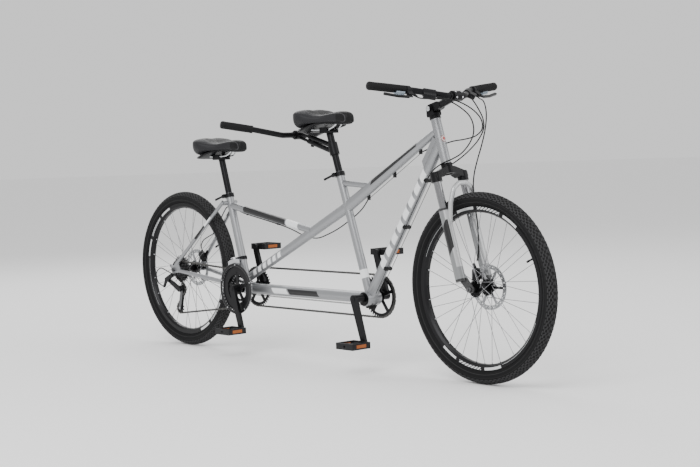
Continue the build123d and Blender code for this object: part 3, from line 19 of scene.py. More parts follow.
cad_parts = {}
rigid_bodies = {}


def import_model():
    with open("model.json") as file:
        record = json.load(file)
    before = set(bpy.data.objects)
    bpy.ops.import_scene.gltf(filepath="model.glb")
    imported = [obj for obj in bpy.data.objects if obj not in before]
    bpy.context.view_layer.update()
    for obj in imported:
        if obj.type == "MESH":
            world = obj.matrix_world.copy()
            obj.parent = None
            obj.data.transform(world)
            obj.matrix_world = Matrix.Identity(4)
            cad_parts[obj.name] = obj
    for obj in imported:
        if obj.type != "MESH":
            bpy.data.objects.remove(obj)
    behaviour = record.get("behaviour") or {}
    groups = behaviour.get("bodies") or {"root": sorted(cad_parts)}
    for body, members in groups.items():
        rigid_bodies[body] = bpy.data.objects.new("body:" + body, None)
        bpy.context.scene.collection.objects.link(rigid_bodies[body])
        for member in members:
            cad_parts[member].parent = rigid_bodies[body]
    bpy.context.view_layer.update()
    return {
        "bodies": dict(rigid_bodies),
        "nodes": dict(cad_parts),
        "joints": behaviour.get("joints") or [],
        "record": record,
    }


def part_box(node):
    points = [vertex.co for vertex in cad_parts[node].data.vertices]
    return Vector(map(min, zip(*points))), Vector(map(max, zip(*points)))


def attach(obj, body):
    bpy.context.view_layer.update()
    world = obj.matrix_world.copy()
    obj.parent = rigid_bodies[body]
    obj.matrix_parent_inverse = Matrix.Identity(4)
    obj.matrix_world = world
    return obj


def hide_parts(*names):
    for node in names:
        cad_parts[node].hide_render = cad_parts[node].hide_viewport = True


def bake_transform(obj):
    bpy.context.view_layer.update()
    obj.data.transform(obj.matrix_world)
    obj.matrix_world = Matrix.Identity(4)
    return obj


LOG = logging.getLogger("tandem")
MM = 0.001

Point = tuple[float, float, float]
Colour = tuple[float, float, float]

AXLE_Z = 0.335
FRONT_AXLE_X = 0.8775
REAR_AXLE_X = -0.8775
BRACKET_Z = 0.272
STOKER_BRACKET_X = -0.4463
CAPTAIN_BRACKET_X = 0.303
HEAD = Vector((0.700, 0.0, 0.847))
HEAD_ANGLE = math.radians(73.5)
STEER_AXIS = Vector((-math.cos(HEAD_ANGLE), 0.0, math.sin(HEAD_ANGLE)))
FORK_FORWARD = Vector((math.sin(HEAD_ANGLE), 0.0, math.cos(HEAD_ANGLE)))
FORWARD = Vector((1.0, 0.0, 0.0))
LEFT = Vector((0.0, 1.0, 0.0))
UP = Vector((0.0, 0.0, 1.0))
CHAIN_PITCH = 0.0127
UPPER_JOCKEY = (REAR_AXLE_X + 0.030, AXLE_Z - 0.085)
LOWER_JOCKEY = (REAR_AXLE_X + 0.009, AXLE_Z - 0.168)
SPLINE_STEPS = 4

Row = TypeVar("Row", float, Vector)


class End(StrEnum):
    """A wheel's end of the bicycle."""

    FRONT = "front"
    REAR = "rear"


class Rider(StrEnum):
    """Whose seat, bars and cranks."""

    CAPTAIN = "captain"
    STOKER = "stoker"


class Side(Enum):
    """A side of the bicycle, by the sign of its Y."""

    LEFT = 1.0
    RIGHT = -1.0

    @property
    def word(self) -> str:
        """The side as it stands in a piece's name."""
        return self.name.lower()

    def mirror(self, point: Vector) -> Vector:
        """The place on this side that matches one on the left."""
        return Vector((point.x, self.value * point.y, point.z))


def fork_point(forward: float, side: float, along: float) -> Vector:
    """A point ahead of the steering axis, to the left and up along it.

    Args:
        forward: millimetres ahead of the steering axis.
        side: millimetres to the left.
        along: millimetres up the axis from the middle of the head tube.

    Returns:
        The point in metres.
    """
    return HEAD + FORK_FORWARD * (forward * MM) + LEFT * (side * MM) + STEER_AXIS * (along * MM)


BAR_CLAMP = fork_point(122.0, 0.0, 127.0)
BAR_BEND = Vector((-0.070, 0.140, 0.022))


def stretches(rows: Sequence) -> Iterator[tuple[tuple, float]]:
    """Walks a row of control points in even steps.

    Args:
        rows: the control points in order.

    Yields:
        The four control points round a step, and how far it is between the middle two.
    """
    last = len(rows) - 1
    for index in range(last):
        around = (rows[max(0, index - 1)], rows[index], rows[index + 1],
                  rows[min(last, index + 2)])
        for step in range(SPLINE_STEPS):
            yield around, step / SPLINE_STEPS


def curve(before: Row, start: Row, end: Row, after: Row, t: float) -> Row:
    """The smooth curve through control points, at t from the second to the third."""
    return 0.5 * (2 * start + (end - before) * t
                  + (2 * before - 5 * start + 4 * end - after) * t * t
                  + (3 * start - before - 3 * end + after) * t ** 3)


def facing(place: Vector, axis: Vector) -> Matrix:
    """The matrix that stands a thing at a place with its Z along an axis."""
    return Matrix.Translation(place) @ axis.to_track_quat("Z", "Y").to_matrix().to_4x4()


def square_up(direction: Vector) -> Vector:
    """The upward direction square to one in the frame's plane."""
    return Vector((-direction.z, 0.0, direction.x))


def only_verts(items: Sequence) -> list[bmesh.types.BMVert]:
    """The vertices among mesh items of any kind."""
    return [item for item in items if isinstance(item, bmesh.types.BMVert)]


def add_object(name: str, data: bpy.types.ID) -> bpy.types.Object:
    """Makes an object and puts it in the scene.

    Args:
        name: the object's name.
        data: its mesh, light or camera.

    Returns:
        The new object.
    """
    thing = bpy.data.objects.new(name, data)
    bpy.context.scene.collection.objects.link(thing)
    return thing


def add_mesh(name: str, bm: bmesh.types.BMesh) -> bpy.types.Object:
    """Makes an object of a mesh under construction.

    Args:
        name: the name of the object and its mesh.
        bm: the mesh, which is freed.

    Returns:
        The new object.
    """
    mesh = bpy.data.meshes.new(name)
    bm.to_mesh(mesh)
    bm.free()
    return add_object(name, mesh)


def rgba(colour: object) -> object:
    """Gives a plain colour its alpha, and leaves a socket as it is."""
    return (*colour, 1.0) if isinstance(colour, tuple) else colour


# ---- shader expressions --------------------------------------------------------------
Number = Union[float, "Value"]


class Value:
    """A number that changes over a surface; its operators add Math nodes."""

    def __init__(self, graph: "Graph", socket: bpy.types.NodeSocket) -> None:
        """Wraps a socket of a graph."""
        self.graph = graph
        self.socket = socket

    def _math(self, operation: str, *others: Number) -> "Value":
        """Adds one Math node on this value and others."""
        return self.graph.math(operation, self, *others)

    def __add__(self, other: Number) -> "Value":
        """Adds a number."""
        return self._math("ADD", other)

    __radd__ = __add__

    def __mul__(self, other: Number) -> "Value":
        """Multiplies by a number."""
        return self._math("MULTIPLY", other)

    __rmul__ = __mul__

    def __sub__(self, other: Number) -> "Value":
        """Takes a number away."""
        return self._math("SUBTRACT", other)

    def __rsub__(self, other: Number) -> "Value":
        """Is taken away from a number."""
        return self.graph.math("SUBTRACT", other, self)

    def __abs__(self) -> "Value":
        """Its size without its sign."""
        return self._math("ABSOLUTE")

    def power(self, exponent: float) -> "Value":
        """Raises to a power."""
        return self._math("POWER", exponent)

    def sine(self) -> "Value":
        """The sine, in radians."""
        return self._math("SINE")

    def highest(self, other: Number) -> "Value":
        """The larger of two values."""
        return self._math("MAXIMUM", other)

    def above(self, edge: float, blur: float = 0.0004) -> "Value":
        """One above an edge and nought below it, with a narrow soft step."""
        node = self.graph.add("ShaderNodeMapRange", {"interpolation_type": "SMOOTHSTEP"},
                              {"Value": self, "From Min": edge - blur, "From Max": edge + blur})
        return Value(self.graph, node.outputs["Result"])

    def between(self, low: float, high: float, blur: float = 0.0004) -> "Value":
        """One between two edges and nought outside them."""
        return self.above(low, blur) * (1.0 - self.above(high, blur))


class Graph:
    """A material's nodes, made through one method."""

    def __init__(self, name: str) -> None:
        """Starts an empty material.

        Args:
            name: the material's name.
        """
        self.material = bpy.data.materials.new(name)
        self.material.use_nodes = True
        self.tree = self.material.node_tree
        self.tree.nodes.clear()
        self._coordinates: Optional[bpy.types.Node] = None

    def add(self, kind: str, settings: dict[str, object],
            inputs: dict[str, object]) -> bpy.types.Node:
        """Adds a node.

        Args:
            kind: the node's type.
            settings: what is set on the node before its inputs.
            inputs: a number, colour or socket for each input, by name or index.

        Returns:
            The new node.
        """
        node = self.tree.nodes.new(kind)
        for key, value in settings.items():
            setattr(node, key, value)
        for key, value in inputs.items():
            socket = node.inputs[key]
            source = value.socket if isinstance(value, Value) else value
            if isinstance(source, bpy.types.NodeSocket):
                self.tree.links.new(source, socket)
            else:
                socket.default_value = source
        return node

    def math(self, operation: str, *operands: Number) -> Value:
        """Adds a Math node on values and numbers."""
        node = self.add("ShaderNodeMath", {"operation": operation}, dict(enumerate(operands)))
        return Value(self, node.outputs[0])

    def place(self) -> bpy.types.NodeSocket:
        """The surface point, in metres."""
        if self._coordinates is None:
            self._coordinates = self.add("ShaderNodeTexCoord", {}, {})
        return self._coordinates.outputs["Object"]

    def axes(self) -> tuple[Value, Value, Value]:
        """X, Y and Z of the surface point."""
        node = self.add("ShaderNodeSeparateXYZ", {}, {0: self.place()})
        return tuple(Value(self, output) for output in node.outputs)

    def around(self, x: float, z: float) -> tuple[Value, Value, Value, Value]:
        """The surface point, measured round an axle along Y.

        Args:
            x: the axle's X.
            z: the axle's Z.

        Returns:
            Its Y, its distance from the axle, and that distance's parts along X and Z.
        """
        place_x, y, place_z = self.axes()
        across, up = place_x - x, place_z - z
        return y, (across * across + up * up).power(0.5), across, up

    def along(self, origin: Vector, direction: Vector) -> Value:
        """How far the surface point lies from an origin along a direction.

        Args:
            origin: the point to measure from.
            direction: the way to measure, of any length.

        Returns:
            The distance, less than nought behind the origin.
        """
        offset = self.add("ShaderNodeVectorMath", {"operation": "SUBTRACT"},
                          {0: self.place(), 1: tuple(origin)})
        node = self.add("ShaderNodeVectorMath", {"operation": "DOT_PRODUCT"},
                        {0: offset.outputs[0], 1: tuple(direction.normalized())})
        return Value(self, node.outputs["Value"])

    def noise(self, scale: float, detail: float = 2.0) -> Value:
        """Soft random variation round one half."""
        node = self.add("ShaderNodeTexNoise", {}, {"Vector": self.place(), "Scale": scale,
                                                  "Detail": detail})
        return Value(self, node.outputs[0])

    def cells(self, scale: float) -> Value:
        """Distance to the nearest of many scattered points."""
        node = self.add("ShaderNodeTexVoronoi", {}, {"Vector": self.place(), "Scale": scale})
        return Value(self, node.outputs["Distance"])

    def tint(self, mask: Number, base: object, over: object) -> bpy.types.NodeSocket:
        """Mixes two colours by a mask.

        Args:
            mask: how much of the second colour shows, from nought to one.
            base: the colour under the mask.
            over: the colour that the mask lets in.

        Returns:
            The mixed colour's socket.
        """
        node = self.add("ShaderNodeMix", {"data_type": "RGBA"},
                        {0: mask, 6: rgba(base), 7: rgba(over)})
        return node.outputs[2]

    def surface(self, colour: object, roughness: Number, metallic: Number = 0.0,
                bump: Optional[Value] = None, depth: float = 0.0002,
                **plain: float) -> bpy.types.Material:
        """Joins everything to one shader.

        Args:
            colour: a colour or a colour socket.
            roughness: a number or a value.
            metallic: a number or a value.
            bump: the height for a Bump node.
            depth: the height's size in metres.
            plain: further sockets of the shader, each one number all over.

        Returns:
            The finished material.
        """
        inputs: dict[str, object] = {
            "Base Color": rgba(colour),
            "Roughness": roughness, "Metallic": metallic}
        inputs.update({name.replace("_", " ").title().replace("Ior", "IOR"): value
                       for name, value in plain.items()})
        if bump is not None:
            node = self.add("ShaderNodeBump", {}, {"Height": bump, "Distance": depth,
                                                  "Strength": 0.6})
            inputs["Normal"] = node.outputs[0]
        shader = self.add("ShaderNodeBsdfPrincipled", {}, inputs)
        self.add("ShaderNodeOutputMaterial", {}, {"Surface": shader.outputs[0]})
        return self.material


# ---- finishes ------------------------------------------------------------------------
@dataclass(frozen=True)
class Stripe:
    """A painted block on a tube: where it lies along the tube, its slant and its colour."""

    origin: Vector
    direction: Vector
    low: float
    high: float
    colour: Colour
    slant: float = 0.0
    across: Vector = UP
    across_low: float = -1.0
    across_high: float = 1.0

    def mask(self, graph: Graph) -> Value:
        """Where the block shows.

        Args:
            graph: the material's nodes.

        Returns:
            One inside the block and nought outside it.
        """
        height = graph.along(self.origin, self.across)
        length = graph.along(self.origin, self.direction) - height * self.slant
        inside = length.between(self.low, self.high)
        return inside * height.between(self.across_low, self.across_high)


@dataclass(frozen=True)
class MetallicPaint:
    """Satin silver paint with fine flake under a thin clear coat."""

    name: str
    colour: Colour = (0.285, 0.29, 0.30)
    stripes: tuple[Stripe, ...] = ()

    def make(self) -> bpy.types.Material:
        """Makes the material.

        Returns:
            The new material.
        """
        graph = Graph(self.name)
        flake = graph.noise(2600.0, 1.0)
        cloud = graph.noise(9.0, 2.0)
        light = tuple(min(1.0, channel * 1.12) for channel in self.colour)
        colour = graph.tint(flake * 0.6 + cloud * 0.3, self.colour, light)
        painted: Number = 0.0
        for stripe in self.stripes:
            mask = stripe.mask(graph)
            colour = graph.tint(mask, colour, stripe.colour)
            painted = mask.highest(painted)
        metallic = (1.0 - painted) * 0.72 if isinstance(painted, Value) else 0.72
        return graph.surface(colour, 0.30 + graph.noise(40.0) * 0.08, metallic, flake, 0.00002,
                             coat_weight=0.16, coat_roughness=0.15, specular_ior_level=0.3)


@dataclass(frozen=True)
class Metal:
    """Bare or anodised metal with a faint grain."""

    name: str
    colour: Colour
    roughness: float
    metallic: float = 1.0
    grain: float = 900.0

    def make(self) -> bpy.types.Material:
        """Makes the material.

        Returns:
            The new material.
        """
        graph = Graph(self.name)
        grain = graph.noise(self.grain, 2.0)
        wear = graph.noise(35.0, 3.0)
        darker = tuple(channel * 0.82 for channel in self.colour)
        colour = graph.tint(wear, self.colour, darker)
        return graph.surface(colour, self.roughness + (grain - 0.5) * 0.10, self.metallic,
                             grain, 0.00002, specular_ior_level=0.18)


@dataclass(frozen=True)
class Moulded:
    """Moulded rubber or plastic with a fine pebble."""

    name: str
    colour: Colour
    roughness: float
    pebble: float = 1400.0
    depth: float = 0.00008

    def make(self) -> bpy.types.Material:
        """Makes the material.

        Returns:
            The new material.
        """
        graph = Graph(self.name)
        pebble = graph.cells(self.pebble)
        cloud = graph.noise(22.0, 3.0)
        lighter = tuple(min(1.0, channel * 1.5 + 0.001) for channel in self.colour)
        colour = graph.tint(cloud * 0.6, self.colour, lighter)
        return graph.surface(colour, self.roughness + cloud * 0.08, 0.0, pebble, self.depth,
                             specular_ior_level=0.16)


@dataclass(frozen=True)
class TyreRubber:
    """Black rubber with a dusty tread and fine ribs and dots on its walls."""

    axle_x: float

    def make(self) -> bpy.types.Material:
        """Makes the material.

        Returns:
            The new material.
        """
        graph = Graph("tyre rubber")
        _, radius, _, _ = graph.around(self.axle_x, AXLE_Z)
        dust = graph.noise(60.0, 4.0)
        tread = radius.above(0.326, 0.004)
        wall_line = (radius.between(0.2985, 0.2997, 0.0002)
                     + radius.between(0.3115, 0.3121, 0.0002))
        colour = graph.tint(tread * dust * 0.6, (0.007, 0.007, 0.0075), (0.035, 0.034, 0.033))
        colour = graph.tint(wall_line * 0.5, colour, (0.07, 0.07, 0.07))
        ribs = (radius * 2600.0).sine() * (1.0 - tread)
        return graph.surface(colour, 0.62 + dust * 0.18, 0.0, ribs * 0.4 + graph.cells(900.0),
                             0.0001, specular_ior_level=0.14)


@dataclass(frozen=True)
class ForkPaint:
    """The lowers' grey paint: a white front face, a dark panel and black ends."""

    def make(self) -> bpy.types.Material:
        """Makes the material.

        Returns:
            The new material.
        """
        graph = Graph("fork lower paint")
        along = graph.along(HEAD, STEER_AXIS)
        forward = graph.along(HEAD, FORK_FORWARD)
        _, y, _ = graph.axes()
        side = abs(y)
        flake = graph.noise(2400.0, 1.0)
        colour = graph.tint(flake, (0.20, 0.205, 0.21), (0.25, 0.255, 0.26))
        arch = along.above(-0.243, 0.001) * forward.above(0.0195, 0.0006)
        face = forward.above(0.0105, 0.0008) * along.between(-0.455, -0.235, 0.001)
        colour = graph.tint(face.highest(arch), colour, (0.46, 0.465, 0.47))
        panel = side.above(0.0755, 0.0006) * along.between(-0.425, -0.285, 0.001)
        slanted = (along - forward * 1.3).between(-0.405, -0.30, 0.0008)
        colour = graph.tint(panel * slanted, colour, (0.010, 0.010, 0.011))
        end = 1.0 - along.above(-0.497, 0.0006)
        colour = graph.tint(end, colour, (0.009, 0.009, 0.010))
        collar = along.between(-0.252, -0.2435, 0.0004) * (1.0 - forward.above(0.0195, 0.0006))
        colour = graph.tint(collar, colour, (0.009, 0.009, 0.010))
        shine = (1.0 - end) * 0.45 * (1.0 - collar)
        return graph.surface(colour, 0.30 + end * 0.12, shine, flake, 0.00002,
                             coat_weight=0.4, coat_roughness=0.15)


@dataclass(frozen=True)
class WheelParts:
    """Black hub shell with a bare steel rotor, told apart by their place."""

    name: str
    axle_x: float
    rotor_y: float
    holes: float = 36.0
    hole_rows: tuple[tuple[float, float], ...] = ((0.0675, 0.0), (0.0720, 0.5), (0.0765, 0.0))

    def make(self) -> bpy.types.Material:
        """Makes the material.

        Returns:
            The new material.
        """
        graph = Graph(self.name)
        y, radius, across, up = graph.around(self.axle_x, AXLE_Z)
        rotor = y.between(self.rotor_y - 0.0011, self.rotor_y + 0.0011, 0.0001)
        rotor = rotor * radius.above(0.0115, 0.0001)
        swept = rotor * radius.above(0.0635, 0.0006)
        rings = (radius * 9000.0).sine()
        grain = graph.noise(700.0, 2.0)
        colour = graph.tint(rotor, (0.010, 0.010, 0.011), (0.30, 0.305, 0.315))
        colour = graph.tint(swept, colour, (0.44, 0.45, 0.46))
        angle = graph.math("ARCTAN2", up, across)
        for row, shift in self.hole_rows:
            step = graph.math("FRACT", angle * (self.holes / math.tau) + shift + 40.0) - 0.5
            sideways = step * (math.tau * row / self.holes)
            apart = radius - row
            hole = (sideways * sideways + apart * apart).power(0.5)
            colour = graph.tint((1.0 - hole.above(0.0015, 0.0002)) * rotor, colour,
                                (0.02, 0.02, 0.02))
        roughness = 0.34 - rotor * 0.06 + rings * swept * 0.04
        return graph.surface(colour, roughness, 0.75 + rotor * 0.25, rings * swept + grain,
                             0.00002, specular_ior_level=0.2)


@dataclass(frozen=True)
class RimFinish:
    """Black anodised rim with silver and white blocks round its walls."""

    name: str
    axle_x: float
    first_angle: float

    def make(self) -> bpy.types.Material:
        """Makes the material.

        Returns:
            The new material.
        """
        graph = Graph(self.name)
        y, radius, across, up = graph.around(self.axle_x, AXLE_Z)
        angle = graph.math("ARCTAN2", up, across)
        turned = graph.math("FRACT", (angle - self.first_angle) * (2.0 / math.tau) + 4.0)
        wall = abs(y).above(0.0138, 0.0003) * radius.between(0.2725, 0.2855, 0.0002)
        block = turned.between(0.0, 0.08, 0.001) + turned.between(0.24, 0.33, 0.001)
        glyphs = turned.between(0.10, 0.22, 0.001)
        teeth = graph.math("FRACT", turned * 60.0 + radius * 90.0).above(0.36, 0.05)
        band = radius.between(0.2745, 0.2838, 0.0003)
        edge = radius.between(0.2640, 0.2658, 0.0002) * abs(y).above(0.0100, 0.0005)
        thin = radius.between(0.2738, 0.2748, 0.0002) * turned.between(0.34, 0.60, 0.001)
        marks = (block + glyphs * teeth) * band * wall
        colour = graph.tint(marks, (0.010, 0.010, 0.011), (0.74, 0.75, 0.76))
        colour = graph.tint((thin * wall).highest(edge), colour, (0.6, 0.61, 0.62))
        grain = graph.noise(800.0, 2.0)
        return graph.surface(colour, 0.30 + grain * 0.08, 0.7, grain, 0.00002)


@dataclass(frozen=True)
class RingSet:
    """Black chainrings behind a black guard, their teeth painted bright grey as a painted
    highlight.
    """

    rings: tuple[tuple[float, float], ...] = ((-0.044, 0.0525), (-0.052, 0.0728),
                                              (-0.060, 0.0930))

    def make(self) -> bpy.types.Material:
        """Makes the material.

        Returns:
            The new material.
        """
        graph = Graph("chainrings and guard")
        y, radius, _, _ = graph.around(STOKER_BRACKET_X, BRACKET_Z)
        teeth_painted_bright: Number = 0.0
        for plane, start in self.rings:
            teeth_painted_bright = (y.between(plane - 0.002, plane + 0.002, 0.0002)
                      * radius.above(start, 0.0004)).highest(teeth_painted_bright)
        guard = 1.0 - y.above(-0.0655, 0.0003)
        lines = radius.between(0.0936, 0.0948, 0.0003) + radius.between(0.1034, 0.1052, 0.0003)
        grain = graph.noise(600.0, 2.0)
        # Painted highlight: the tooth bands are painted bright grey, and made metallic, to
        # stand in for the glints on the teeth.
        colour = graph.tint(teeth_painted_bright, (0.008, 0.008, 0.009), (0.42, 0.42, 0.43))
        colour = graph.tint(guard * lines, colour, (0.09, 0.09, 0.092))
        return graph.surface(colour, 0.36 - teeth_painted_bright * 0.06, teeth_painted_bright * 0.9, grain, 0.00003,
                             specular_ior_level=0.16)


@dataclass(frozen=True)
class Badge:
    """A generic enamelled disc with a rim, told apart by distance from its middle."""

    centre: Vector

    def make(self) -> bpy.types.Material:
        """Makes the material.

        Returns:
            The new material.
        """
        graph = Graph("head badge enamel")
        offset = graph.add("ShaderNodeVectorMath", {"operation": "DISTANCE"},
                           {0: graph.place(), 1: tuple(self.centre)})
        radius = Value(graph, offset.outputs["Value"])
        core = 1.0 - radius.above(0.0066, 0.0003)
        rim = radius.above(0.0105, 0.0003)
        colour = graph.tint(core, (0.55, 0.54, 0.53), (0.35, 0.03, 0.025))
        colour = graph.tint(rim, colour, (0.30, 0.05, 0.04))
        return graph.surface(colour, 0.3, 0.2, graph.noise(300.0), 0.00002, coat_weight=0.5)


@dataclass(frozen=True)
class PedalFinish:
    """Black pedal bodies with amber reflectors let into their front and back."""

    name: str
    centre: Point

    def make(self) -> bpy.types.Material:
        """Makes the material.

        Returns:
            The new material.
        """
        graph = Graph(self.name)
        x, y, z = graph.axes()
        window = abs(x - self.centre[0]).above(0.0390, 0.0001)
        window = window * abs(z - self.centre[2]).between(-1.0, 0.0063, 0.0001)
        window = window * abs(y - self.centre[1]).between(-1.0, 0.0238, 0.0001)
        prism = graph.cells(900.0)
        glow = graph.tint(prism, (0.26, 0.055, 0.012), (0.40, 0.13, 0.035))
        colour = graph.tint(window, (0.010, 0.010, 0.011), glow)
        return graph.surface(colour, 0.42 - window * 0.2, 0.0, prism, 0.0001,
                             specular_ior_level=0.2)


@dataclass(frozen=True)
class SaddleCover:
    """Black saddle cover with dark grey side panels and a painted highlight line along their
    edge, told apart by place.
    """

    name: str
    clamp_x: float
    top: float

    def make(self) -> bpy.types.Material:
        """Makes the material.

        Returns:
            The new material.
        """
        graph = Graph(self.name)
        x, y, z = graph.axes()
        forward = x - self.clamp_x
        drop = self.top - z
        weave = graph.cells(1500.0)
        cloud = graph.noise(30.0, 3.0)
        spread = abs(y) - 0.022 - (0.03 - forward).highest(0.0) * 0.42
        side = spread.above(0.0, 0.0008) * (1.0 - forward.above(0.10, 0.001))
        base = drop.above(0.060, 0.0008)
        colour = graph.tint(cloud, (0.006, 0.006, 0.0065), (0.010, 0.010, 0.011))
        colour = graph.tint(side * (1.0 - base), colour, (0.020, 0.020, 0.022))
        # Painted highlight: a thin lighter line along the side panels' edge stands in for the
        # sheen on the cover's rolled edge.
        painted_edge_highlight = spread.between(-0.0006, 0.0006, 0.0002) * (1.0 - base)
        colour = graph.tint(painted_edge_highlight, colour, (0.06, 0.06, 0.064))
        return graph.surface(colour, 0.42 + weave * 0.12, 0.0, weave, 0.0001,
                             specular_ior_level=0.16)


class Finishes:
    """Every material, each made once."""

    def __init__(self) -> None:
        """Starts with none made."""
        self._made: dict[str, bpy.types.Material] = {}

    def get(self, finish: object) -> bpy.types.Material:
        """The material of a finish, made the first time it is asked for.

        Args:
            finish: a finish, which any other of the same kind and values equals.

        Returns:
            Its material.
        """
        key = repr(finish)
        if key not in self._made:
            self._made[key] = finish.make()
        return self._made[key]


BLACK_ALLOY = Metal("black anodised alloy", (0.014, 0.014, 0.0155), 0.32, 0.55)
SILVER_ALLOY = Metal("satin silver alloy", (0.66, 0.67, 0.69), 0.30)
POLISHED_STEEL = Metal("polished steel", (0.74, 0.75, 0.77), 0.14)
SPOKE_STEEL = Metal("drawn spoke steel", (0.26, 0.26, 0.27), 0.26)
DARK_STEEL = Metal("oiled steel", (0.15, 0.15, 0.155), 0.36)
SPROCKET_STEEL = Metal("plated sprocket steel", (0.17, 0.17, 0.175), 0.34)
CHROME = Metal("stanchion chrome", (0.30, 0.30, 0.31), 0.12)
CHAIN_STEEL = Metal("chain steel", (0.10, 0.098, 0.095), 0.38)
BLACK_PAINT = Metal("black satin paint", (0.008, 0.008, 0.009), 0.28, 0.2)
GRIP_RUBBER = Moulded("grip rubber", (0.007, 0.007, 0.0075), 0.62)
TREAD_RUBBER = Moulded("tread rubber", (0.030, 0.030, 0.031), 0.72)
CABLE_JACKET = Moulded("cable jacket", (0.006, 0.006, 0.0065), 0.36, 500.0, 0.00002)
BLACK_PLASTIC = Moulded("black plastic", (0.008, 0.008, 0.009), 0.40)
DISPLAY_FACE = Metal("display face", (0.44, 0.52, 0.60), 0.25, 0.4)
ELASTOMER = Moulded("elastomer", (0.03, 0.03, 0.032), 0.55)


# ---- making pieces -------------------------------------------------------------------
@dataclass
class Section:
    """One rounded cross-section of a lofted shape, in metres."""

    centre: Vector
    across: Vector
    up: Vector
    half_across: float
    half_up: float
    squareness: float = 2.0

    def point(self, angle: float) -> Vector:
        """The section's point at an angle round it.

        Args:
            angle: the angle from its across direction.

        Returns:
            The point.
        """
        power = 2.0 / self.squareness
        c, s = math.cos(angle), math.sin(angle)
        a = math.copysign(abs(c) ** power, c) * self.half_across
        b = math.copysign(abs(s) ** power, s) * self.half_up
        return self.centre + self.across * a + self.up * b


class Maker:
    """Makes meshes with operators and turns them into pieces that ride on a body."""

    def __init__(self, finishes: Finishes) -> None:
        """Keeps the finishes to dress pieces with."""
        self.finishes = finishes

    def piece(self, name: str, bm: bmesh.types.BMesh, finish: object, body: str, slot: str,
              smooth: bool = True, bevel: float = 0.0, subdivide: int = 0,
              replaces: Sequence[str] = ()) -> bpy.types.Object:
        """Turns a mesh into a dressed piece.

        Args:
            name: the piece's name.
            bm: its mesh, which is freed.
            finish: the finish to dress it in.
            body: the body it rides on, or nothing for a piece that is left unattached.
            slot: the record's material slot; not used.
            smooth: whether its faces are shaded smooth.
            bevel: the width of its rounded edges, in metres.
            subdivide: levels of subdivision.
            replaces: the nodes it stands for.

        Returns:
            The new object.
        """
        bmesh.ops.remove_doubles(bm, verts=bm.verts, dist=1e-6)
        bmesh.ops.recalc_face_normals(bm, faces=bm.faces)
        thing = add_mesh(name, bm)
        thing.data.polygons.foreach_set("use_smooth", [smooth] * len(thing.data.polygons))
        thing.data.materials.append(self.finishes.get(finish))
        if bevel:
            rounding = thing.modifiers.new("rounding", "BEVEL")
            rounding.width = bevel
            rounding.segments = 2
            rounding.limit_method = "ANGLE"
            rounding.angle_limit = math.radians(35)
        if subdivide:
            finer = thing.modifiers.new("finer", "SUBSURF")
            finer.levels = subdivide
            finer.render_levels = subdivide
        if body:
            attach(thing, body)
        if replaces:
            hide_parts(*replaces)
        LOG.info("%s rides on %s", name, body or "two bodies")
        return thing

    @staticmethod
    def skin(bm: bmesh.types.BMesh, shapes: Sequence[Callable[[float], Vector]],
             segments: int) -> None:
        """Bridges a row of closed shapes into one skin with closed ends.

        Args:
            bm: the mesh to add to.
            shapes: the shapes in order, each giving the point at an angle round it.
            segments: points round each shape.
        """
        loops = []
        for index, shape in enumerate(shapes):
            ring = bmesh.ops.create_circle(bm, cap_ends=False, segments=segments,
                                           radius=1.0)["verts"]
            for vert in ring:
                vert.co = shape(math.atan2(vert.co.y, vert.co.x))
            loops.append(list({edge for vert in ring for edge in vert.link_edges}))
            if index in (0, len(shapes) - 1):
                face = bmesh.ops.contextual_create(bm, geom=ring)["faces"]
                bmesh.ops.poke(bm, faces=face)
        for first, second in zip(loops, loops[1:]):
            bmesh.ops.bridge_loops(bm, edges=first + second)

    def loft(self, bm: bmesh.types.BMesh, sections: Sequence[Section],
             segments: int) -> None:
        """Bridges a row of rounded sections, in order, into one closed skin."""
        self.skin(bm, [section.point for section in sections], segments)

    def sweep(self, bm: bmesh.types.BMesh, points: Sequence[Vector], radius: float,
              segments: int = 12) -> None:
        """Lofts round sections along points without twist.

        Args:
            bm: the mesh to add to.
            points: the centre line.
            radius: the sections' radius.
            segments: points round each section.
        """
        across = (points[1] - points[0]).orthogonal().normalized()
        sections = []
        for index, point in enumerate(points):
            after = points[min(len(points) - 1, index + 1)]
            along = (after - points[max(0, index - 1)]).normalized()
            across = (across - along * across.dot(along)).normalized()
            sections.append(Section(point, across, along.cross(across), radius, radius))
        self.loft(bm, sections, segments)

    @staticmethod
    def cylinder(bm: bmesh.types.BMesh, start: Vector, end: Vector, radius: float,
                 segments: int = 24, end_radius: Optional[float] = None) -> None:
        """Adds a closed cylinder or cone between two points.

        Args:
            bm: the mesh to add to.
            start: the middle of its first end.
            end: the middle of its other end.
            radius: its radius at the start.
            segments: faces round it.
            end_radius: its radius at the end, where that differs.
        """
        axis = end - start
        far = radius if end_radius is None else end_radius
        bmesh.ops.create_cone(bm, cap_ends=True, segments=segments, radius1=radius,
                              radius2=far, depth=axis.length,
                              matrix=facing((start + end) / 2, axis))

    @staticmethod
    def block(bm: bmesh.types.BMesh, centre: Vector, size: Point, turn: Matrix) -> None:
        """Adds a box of a size at a centre, turned about it."""
        matrix = Matrix.Translation(centre) @ turn.to_4x4() @ Matrix.Diagonal((*size, 1.0))
        bmesh.ops.create_cube(bm, size=1.0, matrix=matrix)

    @staticmethod
    def spin(bm: bmesh.types.BMesh, profile: Sequence[Vector], centre: Vector, axis: Vector,
             steps: int, closed: bool) -> None:
        """Spins a line of points right round an axis.

        Args:
            bm: the mesh to add to.
            profile: the points in order.
            centre: a point on the axis.
            axis: the axis's direction.
            steps: faces round the axis.
            closed: whether the line joins its own start.
        """
        verts = [bm.verts.new(point) for point in profile]
        pairs = list(zip(verts, verts[1:])) + ([(verts[-1], verts[0])] if closed else [])
        edges = [bm.edges.new(pair) for pair in pairs]
        bmesh.ops.spin(bm, geom=verts + edges, cent=centre, axis=axis, dvec=(0, 0, 0),
                       angle=math.tau, steps=steps, use_merge=True, use_duplicate=False)

